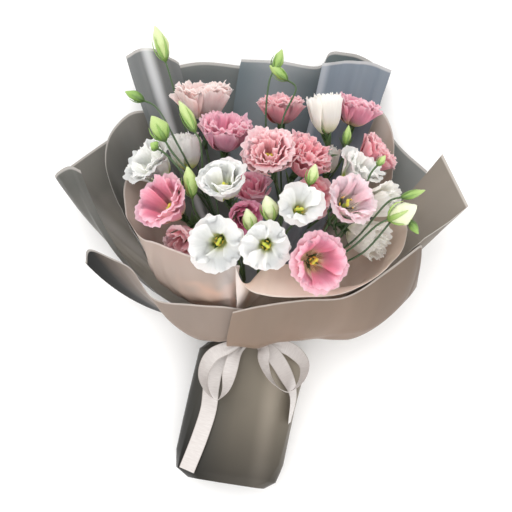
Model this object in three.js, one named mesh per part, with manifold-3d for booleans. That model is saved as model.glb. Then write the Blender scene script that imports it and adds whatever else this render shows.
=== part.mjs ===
// A hand-tied bouquet of lisianthus, lying on its back on a table.
// Branched stems run through one tie and fan out into a dome of blooms and buds. Two sheets of thin
// tissue and ten sheets of frosted film stand round the blooms like a split cone, a sleeve of the same
// film covers the cut ends, and one ribbon is knotted round the gathered waist.
// Millimetres, +Z up, the stems along Y with the blooms at +Y.
import * as THREE from "three";
import Module from "manifold-3d";

const wasm = await Module();
wasm.setup();

// Driving sizes
const FILM = 0.8; // thickness of film, tissue and ribbon
const RESTING = 0.39; // height of the middle of a film that lies on the table, pressed a little flat
const PETAL = 0.8; // thickness of a petal
const SEAT = 0.3; // gap between pieces that touch
const WAIST = new THREE.Vector3(10, -72, 42); // middle of the gathered waist, on the axis of the stems
const NECK_FOOT = -92; // where the sheets end below the ribbon
const LAYER_PITCH = 1.3; // from one sheet to the next at the waist
const FOLD_STEP = 2.6; // how far below the one inside it each sheet folds out
const FIRST_FOLD = WAIST.y + 9; // where the innermost sheet folds out
const INNER_LAYER = 17.5; // radius of the innermost sheet at the waist
const RIBBON_WIDTH = 19;
const STEM_RADIUS = 1.9;
const TWIG_RADIUS = 1.1;
const BUNDLE_RADIUS = 9.9; // from the middle of the bundle to the stems under the string
const TIE = 1.6; // thickness of the string
const TIE_TOP = WAIST.y - 9;
const FOOT_Y = -246; // where the stems are cut
const CENTRE = new THREE.Vector3(-6.45, 11.8, 0); // middle of the finished bouquet's box, moved to the origin

const V = (x, y, z) => new THREE.Vector3(x, y, z);
const vec = ([x, y, z]) => V(x, y, z);
const rad = THREE.MathUtils.degToRad;
const lerp = THREE.MathUtils.lerp;
const clamp = THREE.MathUtils.clamp;

// Solids

function solid(points, faces) {
  let volume = 0;
  for (const [a, b, c] of faces)
    volume += points[a].dot(points[b].clone().cross(points[c]));
  const turned = volume < 0 ? faces.map(([a, b, c]) => [a, c, b]) : faces;
  return new wasm.Manifold(
    new wasm.Mesh({
      numProp: 3,
      vertProperties: new Float32Array(points.flatMap((p) => p.toArray())),
      triVerts: new Uint32Array(turned.flat()),
    }),
  );
}

// A solid through rings of points, with a fan of triangles over each end. Spikes, where given, grow out of
// the faces of the last band.
function loft(rings, spikes = []) {
  const n = rings[0].length;
  const middle = (ring) =>
    ring.reduce((sum, p) => sum.add(p), V(0, 0, 0)).divideScalar(n);
  const points = [...rings.flat(), middle(rings[0]), middle(rings.at(-1)), ...spikes];
  const faces = [];
  for (let k = 0; k < rings.length - 1; k++)
    for (let i = 0; i < n; i++) {
      const a = k * n + i;
      const b = k * n + ((i + 1) % n);
      const tip = rings.length * n + 2 + i;
      if (k === rings.length - 2 && spikes.length)
        faces.push([a, b, tip], [b, b + n, tip], [b + n, a + n, tip], [a + n, a, tip]);
      else faces.push([a, b, b + n], [a, b + n, a + n]);
    }
  const top = (rings.length - 1) * n;
  for (let i = 0; i < n; i++) {
    const j = (i + 1) % n;
    faces.push([j, i, rings.length * n], [top + i, top + j, rings.length * n + 1]);
  }
  return solid(points, faces);
}

function evenly(count) {
  return Array.from({ length: count + 1 }, (_, i) => i / count);
}

// Points of surface(u, v) at the stations us and vs, row by row.
function gridOf(surface, us, vs) {
  return vs.map((v) => us.map((u) => surface(u, v)));
}

// How far each point of a grid moves to thicken it: the mean of the normals round it, longer at a fold.
function offsets(grid, thickness, closed = false) {
  const cells = grid.slice(1).map((row, j) =>
    row.map((point, i) => {
      const next = (i + 1) % row.length;
      const up = row[next].clone().sub(grid[j][i]);
      const down = point.clone().sub(grid[j][next]);
      return up.cross(down).normalize();
    }),
  );
  const last = grid[0].length - 1;
  return grid.map((row, j) =>
    row.map((_, i) => {
      const columns = closed ? [(i + last) % (last + 1), i] : [i - 1, i].filter((c) => c >= 0 && c < last);
      const rows = [j - 1, j].filter((r) => r >= 0 && r < grid.length - 1);
      const round = rows.flatMap((r) => columns.map((c) => cells[r][c]));
      const normal = round.reduce((sum, n) => sum.add(n), V(0, 0, 0)).normalize();
      const fold = Math.max(0.45, Math.min(...round.map((n) => n.dot(normal))));
      return normal.multiplyScalar(thickness / 2 / fold);
    }),
  );
}

// A thin solid about surface(u, v), through the stations us and vs. A closed one meets itself in u. Where it
// would sink into the table, it lies flat on it.
function blade(surface, us, vs, thickness, closed = false) {
  const grid = gridOf(surface, closed ? us.slice(0, -1) : us, vs);
  const shift = offsets(grid, thickness, closed);
  const row = grid[0].length;
  const count = row * vs.length;
  const points = [1, -1].flatMap((sign) =>
    grid.flatMap((line, j) => line.map((point, i) => point.clone().addScaledVector(shift[j][i], sign))),
  );
  for (const point of points) point.z = Math.max(point.z, 0);
  const faces = [];
  const wall = (a, b) => faces.push([b, a, count + a], [b, count + a, count + b]);
  for (let j = 0; j < vs.length - 1; j++)
    for (let i = 0; i < us.length - 1; i++) {
      const a = j * row + i;
      const b = j * row + ((i + 1) % row);
      const [c, d] = [b + row, a + row];
      faces.push([a, b, c], [a, c, d]);
      faces.push([count + a, count + c, count + b], [count + a, count + d, count + c]);
      if (j === 0) wall(a, b);
      if (j === vs.length - 2) wall(c, d);
      if (!closed && i === 0) wall(d, a);
      if (!closed && i === us.length - 2) wall(b, c);
    }
  return solid(points, faces);
}

// Where a round bar along a curve has its rings, with a radius for each share of its length.
function stations(curve, radii) {
  return radii.map((radius, k) => {
    const t = k / (radii.length - 1);
    return { point: curve.getPoint(t), along: curve.getTangent(t), radius };
  });
}

function line(start, end) {
  return new THREE.LineCurve3(start, end);
}

// Rings of a bar through its stations, turned no more than the bar bends.
function barRings(places, sides) {
  const across = V(0.3, 0.1, 0.9).cross(places[0].along).normalize();
  return places.map(({ point, along, radius }) => {
    across.addScaledVector(along, -across.dot(along)).normalize();
    const up = along.clone().cross(across).normalize();
    return Array.from({ length: sides }, (_, i) => {
      const turn = (2 * Math.PI * i) / sides;
      return point
        .clone()
        .addScaledVector(across, radius * Math.cos(turn))
        .addScaledVector(up, radius * Math.sin(turn));
    });
  });
}

// Rings of a solid of revolution about Z.
function turnedRings(profile, sides) {
  return profile.map(([radius, z]) =>
    Array.from({ length: sides }, (_, i) => {
      const turn = (2 * Math.PI * i) / sides;
      return V(radius * Math.cos(turn), radius * Math.sin(turn), z);
    }),
  );
}

const fused = (solids) => solids.reduce((sum, s) => sum.add(s));

function placed(shape, position, axis) {
  const turn = new THREE.Quaternion().setFromUnitVectors(V(0, 0, 1), axis);
  const matrix = new THREE.Matrix4().compose(position, turn, V(1, 1, 1));
  return shape.transform(matrix.toArray());
}

const group = new THREE.Group();
group.position.copy(CENTRE).negate();

function addNode(name, shape, colour, roughness) {
  const { vertProperties, triVerts, numProp } = shape.getMesh();
  const geometry = new THREE.BufferGeometry();
  const position = new Float32Array((vertProperties.length / numProp) * 3);
  for (let i = 0; i < position.length / 3; i++)
    position.set(vertProperties.subarray(i * numProp, i * numProp + 3), i * 3);
  geometry.setAttribute("position", new THREE.BufferAttribute(position, 3));
  geometry.setIndex(new THREE.BufferAttribute(triVerts, 1));
  geometry.computeVertexNormals();
  const material = new THREE.MeshStandardMaterial({ color: colour, roughness, metalness: 0 });
  const mesh = new THREE.Mesh(geometry, material);
  mesh.name = name;
  group.add(mesh);
}

// Wrapping sheets
// Each sheet is gathered at the waist and fans out to its free edge. A rib is [angle round the waist
// from the front, clockwise seen from the blooms' side, rise off the waist before it bends, middle
// control point, point on the free edge].

const GREY_FILM = 0x7d8283;
const DARK_FILM = 0x5c666b;
const TAUPE_FILM = 0x9c9085;
const TISSUE = 0xdcc3b4;

const SHEETS = [
  { name: "tissue_left", colour: TISSUE, layer: 0, across: 8, ribs: [
    [-128, 2, [-75, 20, 44], [-150, 106, 76]],
    [-108, 4, [-88, 5, 60], [-168, 62, 92]],
    [-90, 8, [-92, -22, 76], [-158, 22, 112]],
    [-76, 12, [-104, -62, 86], [-134, -9, 132]],
    [-64, 16, [-102, -98, 96], [-110, -16, 146]],
    [-50, 22, [-64, -108, 104], [-73, -26, 156]],
    [-38, 26, [-34, -100, 110], [-43, -31, 160]],
    [-31, 26, [-16, -90, 110], [-16, -30, 162]],
  ] },
  { name: "tissue_right", colour: TISSUE, layer: 1, across: 8, ribs: [
    [-34, 31, [-11, -105, 122], [-19, -32, 169]],
    [-13, 40, [8, -2, 141], [-1, -55, 168]],
    [6, 46, [24, 46, 146], [20, -58, 165]],
    [28, 42, [50, 40, 142], [59, -53, 161]],
    [54, 22, [96, -8, 108], [107, -39, 152]],
    [78, 9, [118, -36, 70], [157, 5, 134]],
    [96, 5, [112, -10, 54], [170, 50, 102]],
    [112, 3, [98, 18, 42], [158, 104, 78]],
  ] },
  { name: "film_back_left", colour: GREY_FILM, layer: 2, across: 6, ribs: [
    [-122, 3, [-124, 62, 46], [-204, 236, 34]],
    [-134, 3, [-112, 84, 44], [-186, 243, 52]],
    [-146, 3, [-94, 92, 30], [-162, 247, 46]],
    [-158, 3, [-70, 92, 18], [-138, 243, 22]],
  ] },
  { name: "film_back_right", colour: GREY_FILM, layer: 2, across: 6, ribs: [
    [170, 3, [34, 90, 16], [46, 270, 30]],
    [158, 3, [58, 92, 28], [76, 275, 40]],
    [146, 3, [82, 88, 36], [106, 275, 46]],
    [134, 3, [100, 76, 46], [134, 270, 44]],
  ] },
  { name: "film_side_left", colour: GREY_FILM, layer: 3, across: 8, ribs: [
    [-146, 3, [-106, 50, 8], [-160, 174, 26]],
    [-130, 3, [-122, 38, 16], [-186, 160, 40]],
    [-116, 4, [-130, 20, 28], [-203, 126, 52]],
    [-104, 4, [-130, 0, 42], [-202, 92, 66]],
    [-92, 6, [-122, -24, 54], [-188, 60, 82]],
    [-80, 8, [-110, -48, 68], [-160, 16, 98]],
    [-68, 11, [-104, -84, 82], [-131, -17, 114]],
  ] },
  { name: "film_side_right", colour: TAUPE_FILM, layer: 3, across: 6, ribs: [
    [150, 2, [88, 74, 12], [112, 214, 28]],
    [138, 3, [104, 66, 16], [128, 218, 33]],
    [126, 3, [114, 54, 24], [142, 198, 42]],
    [114, 3, [116, 38, 32], [150, 156, 56]],
    [102, 4, [112, 20, 42], [150, 122, 70]],
  ] },
  { name: "film_wing_left", colour: GREY_FILM, layer: 4, across: 9, ribs: [
    [-146, 2, [-120, 36, 0], [-185, 148, 26]],
    [-130, 3, [-142, 22, 4], [-214, 116, 36]],
    [-114, 4, [-158, 0, 16], [-244, 76, 56]],
    [-100, 4, [-165, -40, 34], [-253, 54, 80]],
    [-90, 6, [-160, -64, 56], [-250, 56, 96]],
    [-78, 9, [-146, -92, 78], [-236, 66, 100]],
    [-62, 14, [-116, -124, 100], [-222, 64, 98]],
  ] },
  { name: "film_wing_right", colour: TAUPE_FILM, layer: 4, across: 8, straight: true, ribs: [
    [118, 3, [130, 30, 30], [205, 158, 84]],
    [96, 5, [156, -14, 48], [240, 94, 102]],
    [78, 9, [150, -52, 68], [192, 44, 116]],
    [60, 13, [124, -83, 81], [152, 0, 120]],
    [42, 17, [86, -106, 90], [104, -43, 137]],
  ] },
  { name: "film_back_centre", colour: DARK_FILM, layer: 4, across: 6, ribs: [
    [206, 0, [-68, 100, -2], [-59, 264, 15]],
    [190, 0, [-20, 100, -4], [-10, 270, 15]],
    [174, 0, [30, 100, -4], [45, 273, 15]],
    [165, 0, [50, 100, -3], [54, 291, 18]],
    [154, 0, [74, 98, -2], [84, 294, 20]],
    [144, 0, [98, 90, 2], [112, 286, 18]],
    [134, 1, [112, 76, 8], [133, 270, 18]],
  ] },
  { name: "film_back", colour: DARK_FILM, layer: 5, across: 8, ribs: [
    [218, 2, [-112, 54, -10], [-156, 236, 12]],
    [206, 2, [-82, 78, -24], [-112, 254, 8]],
    [194, 2, [-48, 90, -28], [-58, 258, 7]],
    [178, 2, [4, 92, -28], [4, 258, 7]],
    [162, 2, [56, 84, -28], [70, 250, 7]],
    [146, 3, [98, 62, -18], [128, 216, 12]],
    [130, 4, [132, 34, 0], [160, 178, 24]],
    [114, 4, [152, 4, 14], [196, 146, 42]],
  ] },
  { name: "film_front_left", colour: TAUPE_FILM, layer: 5, across: 8, ribs: [
    [-100, 5, [-105, -112, 46], [-199, -42, 78]],
    [-84, 7, [-98, -118, 56], [-196, -28, 94]],
    [-70, 10, [-88, -124, 68], [-165, -36, 104]],
    [-56, 12, [-74, -136, 78], [-140, -46, 116]],
    [-40, 15, [-54, -144, 84], [-110, -76, 122]],
    [-22, 15.6, [-28, -154, 84], [-63, -76, 124]],
    [-4, 15.6, [-2, -146, 84], [-25, -73, 130]],
    [12, 15.6, [14, -138, 88], [3, -72, 133]],
  ] },
  { name: "film_front_right", colour: TAUPE_FILM, layer: 6, across: 9, ribs: [
    [-24, 14, [-24, -160, 88], [-16, -79, 138]],
    [2, 14, [12, -156, 91], [18, -66, 146]],
    [26, 12.5, [58, -134, 88], [62, -54, 150]],
    [46, 11, [124, -110, 80], [107, -42, 145]],
    [64, 9, [192, -116, 70], [150, -4, 133]],
    [80, 7, [212, -96, 62], [190, 36, 112]],
    [94, 5, [220, -64, 54], [190, 26, 90]],
  ] },
];

function waistPoint(angle, radius, y) {
  return V(WAIST.x + radius * Math.sin(rad(angle)), y, WAIST.z + radius * Math.cos(rad(angle)));
}

function through(points) {
  return new THREE.CatmullRomCurve3(points, false, "centripetal");
}

// A line through points as a function of the share of their number.
function spread(points, straight) {
  if (!straight) return (u) => through(points).getPoint(u);
  return (u) => {
    const t = u * (points.length - 1);
    const k = Math.min(Math.floor(t), points.length - 2);
    return points[k].clone().lerp(points[k + 1], t - k);
  };
}

const NECK_SHARE = 0.08;

function sheetSurface({ layer, ribs, straight }) {
  const radius = INNER_LAYER + layer * LAYER_PITCH;
  const neckTop = FIRST_FOLD - layer * FOLD_STEP;
  const waistAt = spread(ribs.map(([angle, rise]) => V(angle, rise, 0)), straight);
  const middleAt = spread(ribs.map(([, , middle]) => vec(middle)), straight);
  const edgeAt = spread(ribs.map(([, , , edge]) => vec(edge)), straight);
  return (u, v) => {
    const { x: angle, y: rise } = waistAt(u);
    const top = waistPoint(angle, radius, neckTop);
    if (v < NECK_SHARE) return top.setY(lerp(NECK_FOOT, neckTop, v / NECK_SHARE));
    const start = waistPoint(angle, radius + rise, neckTop);
    const rib = new THREE.CubicBezierCurve3(top, start, middleAt(u), edgeAt(u));
    const point = rib.getPoint((v - NECK_SHARE) / (1 - NECK_SHARE));
    return point.setZ(Math.max(point.z, RESTING));
  };
}

for (const sheet of SHEETS) {
  const rows = evenly(4).map((s) => lerp(NECK_SHARE, 1, s));
  addNode(sheet.name, blade(sheetSurface(sheet), evenly(sheet.across), [0, ...rows], FILM), sheet.colour, 0.55);
}

// Sleeve
// The film below the waist: a flattened tube, gathered at its top and open at the cut ends.

const SLEEVE_COLOUR = 0x7b7568;
const SLEEVE = [ // [y, middle x, half width, half height, middle z, share of a true ellipse]
  [-95, 10, 23.9, 23.9, 42, 1],
  [-103, 10, 23.9, 23.9, 42, 1],
  [-109, 13, 54, 29, 37, 0.8],
  [-118, 15.5, 66, 32, 33.5, 0.62],
  [-173, 10.5, 65, 31, 31.8, 0.62],
  [-240, 6.5, 65, 30.4, 31, 0.62],
  [-261, 5, 61, 29.8, 30.6, 0.62],
  [-270, 7, 47, 28, 30.4, 0.7],
];

function sleeveSurface(u, v) {
  const t = v * (SLEEVE.length - 1);
  const k = Math.min(Math.floor(t), SLEEVE.length - 2);
  const row = SLEEVE[k].map((value, i) => lerp(value, SLEEVE[k + 1][i], t - k));
  const [y, x, width, height, z, roundness] = row;
  const turn = 2 * Math.PI * u;
  const shape = (value) => Math.sign(value) * Math.abs(value) ** roundness;
  return V(
    x + width * shape(Math.sin(turn)),
    y,
    Math.max(z + height * shape(Math.cos(turn)), RESTING),
  );
}

addNode("film_sleeve", blade(sleeveSurface, evenly(12), evenly(SLEEVE.length - 1), FILM, true), SLEEVE_COLOUR, 0.5);

// Ribbon
// One length of satin ribbon: a band round the waist, a knot at the front, two loops and two tails.

const RIBBON_COLOUR = 0xece6e2;
const BAND_RADIUS = INNER_LAYER + 6 * LAYER_PITCH + FILM + 3 * SEAT;
const KNOT = V(WAIST.x, -96, WAIST.z + BAND_RADIUS + 2.6);
const BAND_TOP = -84;
const KNOT_PROFILE = [[3, -10], [6, -6], [7, 0], [6, 6], [3, 10]];

// A strip is a row of [middle point, lean in degrees]: 0 lies flat, 90 stands on its edge.
const LOOPS = [
  [[[6, -98, 75], 0], [[-11, -112, 80], 8], [[-33, -128, 83], 30], [[-39, -152, 82], 55], [[-30, -170, 81], 78],
    [[-13, -178, 80], 90], [[0, -167, 80], 72], [[3, -140, 79], 28], [[2, -116, 75], 6], [[7, -99, 70.6], 0]],
  [[[14, -98, 75], 0], [[26, -110, 79], 12], [[28, -124, 82], 46], [[42, -146, 82], 76], [[62, -155, 81], 90],
    [[75, -140, 79], 75], [[76, -120, 76], 55], [[60, -106, 72], 30], [[38, -101, 70.5], 8], [[13, -99, 70.6], 0]],
];
const TAILS = [
  [[[5, -99, 71], 0], [[-10, -120, 68.5], 0], [[-22, -160, 65], 0], [[-32, -210, 63.6], -4], [[-41, -262, 60.5], -16]],
  [[[15, -99, 71], 0], [[38, -114, 70.5], 4], [[54, -132, 68], 18], [[68, -160, 63], 36], [[76, -188, 57], 52]],
];

function stripSurface(points, pinched) {
  const middle = through(points.map(([point]) => vec(point)));
  const lean = through(points.map(([, degrees], k) => V(k, rad(degrees), 0)));
  return (u, v) => {
    const along = middle.getTangent(v);
    const side = V(along.y, -along.x, 0).normalize();
    const angle = lean.getPoint(v).y;
    const width = side.multiplyScalar(Math.cos(angle)).setZ(Math.sin(angle));
    width.addScaledVector(along, -width.dot(along)).normalize();
    const ends = pinched ? Math.min(v, 1 - v) : v;
    const share = lerp(0.55, 1, clamp(4 * ends, 0, 1));
    return middle.getPoint(v).addScaledVector(width, (u - 0.5) * RIBBON_WIDTH * share);
  };
}

const bandSurface = (u, v) => waistPoint(360 * u, BAND_RADIUS, BAND_TOP - RIBBON_WIDTH * v);

addNode(
  "ribbon",
  fused([
    blade(bandSurface, evenly(16), evenly(1), FILM, true),
    loft(turnedRings(KNOT_PROFILE, 6)).scale([1, 1, 0.6]).rotate([0, 90, 0]).scale([1, 1, 0.6])
      .translate(KNOT.toArray()),
    ...LOOPS.map((points) => blade(stripSurface(points, true), evenly(1), evenly(11), FILM)),
    ...TAILS.map((points) => blade(stripSurface(points, false), evenly(1), evenly(5), FILM)),
  ]),
  RIBBON_COLOUR,
  0.4,
);

// Blooms
// A petal runs up a curve of [share of the radius, share of the height] from the core to the rim, and
// overlaps the next one like the blades of a pinwheel, with its leading side outside.

const CURVES = {
  bowl: [[0.85, 0.05], [0.66, 0.95], [1, 0.95]],
  trumpet: [[0.6, 0.1], [0.4, 1.02], [1, 0.97]],
  heart: [[0.56, 0.12], [0.36, 0.8], [0.62, 1.0]],
  goblet: [[1.05, 0.12], [0.6, 0.75], [1, 1]],
  furled: [[0.7, 0.2], [0.3, 0.7], [0.52, 1.02]],
};
// Each form: its whorls from the outside in, as [curve, petals, lag in degrees].
const FORMS = {
  single: [["trumpet", 6, 0]],
  cup: [["bowl", 5, 0], ["heart", 3, 36]],
  small_cup: [["bowl", 4, 0], ["heart", 2, 40]],
  double: [["bowl", 5, 0], ["heart", 3, 30]],
  half_open: [["goblet", 4, 0], ["furled", 2, 45]],
};
const HEIGHTS = { single: 0.62, cup: 0.6, small_cup: 0.62, double: 0.58, half_open: 1.08 };
const CORE = 0.9; // height of a whorl's core
const PASS = 2.6; // how far one petal's edge passes outside the next

// A whorl of petals and the short core they grow from, as one skin.
function whorl({ curve, count, turn, radius, height, core, base, ruffle, across, along, thickness }) {
  const profile = new THREE.CubicBezierCurve3(
    V(core, 0, base),
    ...CURVES[curve].map(([r, z]) => V(r * radius, 0, z * height)),
  );
  const sector = Math.PI / count;
  const spans = count > 4 ? [0.5, 1.12, 1.24] : count > 2 ? [0.5, 0.86, 0.96] : [0.7, 0.7, 0.7];
  const pass = count > 2 ? PASS : 1;
  const us = evenly(across);
  const vs = evenly(along);
  const points = [];
  const index = (k, j, i, side) => ((k * (along + 1) + j) * (across + 1) + i) * 2 + side;
  for (let k = 0; k < count; k++) {
    const middle = turn + 2 * sector * k;
    const surface = (u, v) => {
      const side = 2 * u - 1;
      const wave = Math.sin(side * 5 + middle * 3);
      const reach = v * (1 - 0.06 * side * side - ruffle * 0.04 * v * (1 + wave) * (1 - side * side));
      const point = profile.getPoint(reach);
      const tangent = profile.getTangent(reach);
      const shift = side * pass * Math.min(1, 2 * v) + 0.5 * ruffle * v ** 3 * wave;
      const span = v < 0.5 ? lerp(spans[0], spans[1], 2 * v) : lerp(spans[1], spans[2], 2 * v - 1);
      const angle = middle + side * sector * span;
      const r = point.x + tangent.z * shift;
      return V(r * Math.cos(angle), r * Math.sin(angle), point.z - tangent.x * shift);
    };
    const grid = gridOf(surface, us, vs);
    const shift = offsets(grid, thickness);
    for (const [i, point] of grid[0].entries()) {
      grid[0][i] = point.setLength(core).setZ(base);
      shift[0][i] = V(0, 0, -CORE / 2);
    }
    for (const [j, row] of grid.entries())
      for (const [i, point] of row.entries())
        points.push(point.clone().sub(shift[j][i]), point.clone().add(shift[j][i]));
  }
  const caps = [points.length, points.length + 1];
  points.push(V(0, 0, base + CORE / 2), V(0, 0, base - CORE / 2));
  const faces = [];
  const quad = (a, b, c, d) => faces.push([a, b, c], [a, c, d]);
  for (let k = 0; k < count; k++) {
    for (let i = 0; i < across; i++) {
      for (let j = 0; j < along; j++) {
        const corners = [[j, i], [j, i + 1], [j + 1, i + 1], [j + 1, i]];
        quad(...corners.map(([row, column]) => index(k, row, column, 0)));
        quad(...corners.reverse().map(([row, column]) => index(k, row, column, 1)));
      }
      quad(index(k, along, i, 0), index(k, along, i + 1, 0), index(k, along, i + 1, 1), index(k, along, i, 1));
      faces.push([index(k, 0, i + 1, 0), index(k, 0, i, 0), caps[0]]);
      faces.push([index(k, 0, i, 1), index(k, 0, i + 1, 1), caps[1]]);
    }
    for (let j = 0; j < along; j++) {
      quad(index(k, j, 0, 0), index(k, j + 1, 0, 0), index(k, j + 1, 0, 1), index(k, j, 0, 1));
      quad(index(k, j + 1, across, 0), index(k, j, across, 0), index(k, j, across, 1), index(k, j + 1, across, 1));
    }
    const next = (k + 1) % count;
    quad(index(k, 0, across, 1), index(k, 0, across, 0), index(next, 0, 0, 0), index(next, 0, 0, 1));
    faces.push([index(next, 0, 0, 0), index(k, 0, across, 0), caps[0]]);
    faces.push([index(k, 0, across, 1), index(next, 0, 0, 1), caps[1]]);
  }
  return solid(points, faces);
}

function bloomSolid({ form, width, height, turn }) {
  return fused(
    FORMS[form].map(([curve, count, lag], layer) =>
      whorl({
        curve,
        count,
        turn: turn + rad(lag),
        radius: width / 2,
        height,
        core: layer ? 2.6 : 3.6,
        base: layer ? 1.6 : 0.7,
        ruffle: form === "double" ? 2 : 1,
        across: layer ? 2 : 3,
        along: 2,
        thickness: PETAL,
      }),
    ),
  );
}

// The ovary with its stigma, and five stamens round it.
function centreSolid() {
  const ovary = loft(turnedRings([[2, 0], [3.2, 4], [1, 11], [3, 14.5]], 5));
  const stamens = Array.from({ length: 5 }, (_, k) => {
    const turn = rad(36 + 72 * k);
    const side = V(Math.cos(turn), Math.sin(turn), 0);
    const foot = side.clone().multiplyScalar(1.4).setZ(2.4);
    return loft(barRings(stations(line(foot, side.multiplyScalar(7).setZ(13)), [0.6, 1.2]), 3));
  });
  return fused([ovary, ...stamens]);
}

const WHITE = 0xf3f3ee;
const CREAM = 0xf0e9db;
const PALE_SALMON = 0xefc4bd;
const LIGHT_PINK = 0xeab4c2;
const ROSE = 0xe79fae;
const PINK = 0xe48ba6;
const CORAL = 0xe38e98;
const DEEP_PINK = 0xcf6a8e;

// Each bloom: a point on its axis 0.6 of the way up, the way it faces as [turn from +Y towards +X, lift
// towards +Z] in degrees, its width and its form.
const BLOOMS = {
  salmon_top: { at: [-94, 182, 80], faces: [-10, 24], width: 74, form: "double", colour: PALE_SALMON },
  rose_upper: { at: [-58, 134, 114], faces: [-4, 38], width: 66, form: "double", colour: PINK },
  rose_middle: { at: [-4, 106, 152], faces: [-30, 72], width: 62, form: "double", colour: ROSE, centre: true },
  coral_middle: { at: [40, 116, 126], faces: [28, 46], width: 62, form: "double", colour: CORAL },
  pink_back: { at: [2, 186, 78], faces: [-10, 28], width: 56, form: "cup", colour: CORAL },
  cream_back: { at: [54, 184, 98], faces: [-16, 20], width: 44, form: "half_open", colour: CREAM },
  green_cream: { at: [68, 138, 60], faces: [-6, 24], width: 32, form: "half_open", colour: CREAM },
  pink_corner: { at: [94, 200, 74], faces: [8, 24], width: 58, form: "cup", colour: PINK },
  white_left: { at: [-138, 82, 104], faces: [-66, 40], width: 66, form: "double", colour: WHITE },
  pink_left: { at: [-110, 28, 148], faces: [-74, 50], width: 70, form: "cup", colour: PINK, centre: true },
  pink_low: { at: [-84, -6, 134], faces: [200, 44], width: 48, form: "small_cup", colour: PINK },
  white_upper: { at: [-49, 60, 164], faces: [-34, 58], width: 58, form: "cup", colour: WHITE, centre: true },
  cream_left: { at: [-104, 110, 98], faces: [-18, 24], width: 40, form: "half_open", colour: CREAM },
  white_front: { at: [-44, -10, 174], faces: [192, 72], width: 66, form: "single", colour: WHITE, centre: true },
  deep_pink: { at: [-20, 30, 146], faces: [140, 58], width: 46, form: "small_cup", colour: DEEP_PINK },
  white_low: { at: [9, -8, 188], faces: [176, 74], width: 56, form: "single", colour: WHITE, centre: true },
  white_middle: { at: [39, 40, 188], faces: [4, 80], width: 54, form: "single", colour: WHITE, centre: true },
  pink_low_right: { at: [66, -16, 184], faces: [124, 70], width: 70, form: "cup", colour: PINK, centre: true },
  light_right: { at: [93, 60, 168], faces: [52, 68], width: 62, form: "cup", colour: LIGHT_PINK, centre: true },
  cream_right: { at: [103, 112, 118], faces: [34, 38], width: 60, form: "cup", colour: CREAM },
  coral_right: { at: [126, 146, 82], faces: [44, 24], width: 54, form: "small_cup", colour: CORAL },
  dusky_middle: { at: [-17, 73, 96], faces: [-16, 56], width: 52, form: "small_cup", colour: DEEP_PINK },
  pink_under: { at: [52, 71, 117], faces: [110, 62], width: 54, form: "small_cup", colour: CORAL },
  cream_side: { at: [134, 78, 123], faces: [72, 36], width: 44, form: "half_open", colour: CREAM },
  cream_low_side: { at: [127, 34, 110], faces: [114, 30], width: 46, form: "half_open", colour: CREAM },
};

function facing([turn, lift]) {
  const flat = Math.cos(rad(lift));
  return V(Math.sin(rad(turn)) * flat, Math.cos(rad(turn)) * flat, Math.sin(rad(lift)));
}

for (const [index, bloom] of Object.values(BLOOMS).entries()) {
  bloom.axis = facing(bloom.faces);
  bloom.height = bloom.width * HEIGHTS[bloom.form];
  bloom.base = vec(bloom.at).addScaledVector(bloom.axis, -0.6 * bloom.height);
  bloom.turn = index * 0.7;
}

for (const [name, bloom] of Object.entries(BLOOMS)) {
  addNode(`bloom_${name}`, placed(bloomSolid(bloom), bloom.base, bloom.axis), bloom.colour, 0.6);
  if (!bloom.centre) continue;
  const seat = bloom.base.clone().addScaledVector(bloom.axis, (bloom.form === "single" ? 0.7 : 1.6) + CORE / 2 + SEAT);
  addNode(`centre_${name}`, placed(centreSolid(), seat, bloom.axis), 0xb9b23a, 0.6);
}

// Sprays
// Each branched stem passes its own slot in the tie, forks, and carries blooms and buds.

const STEM_GREEN = 0x5d7f45;
const SEPAL_REACH = 12;
const SEPAL_LIFT = 0.2;

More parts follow.
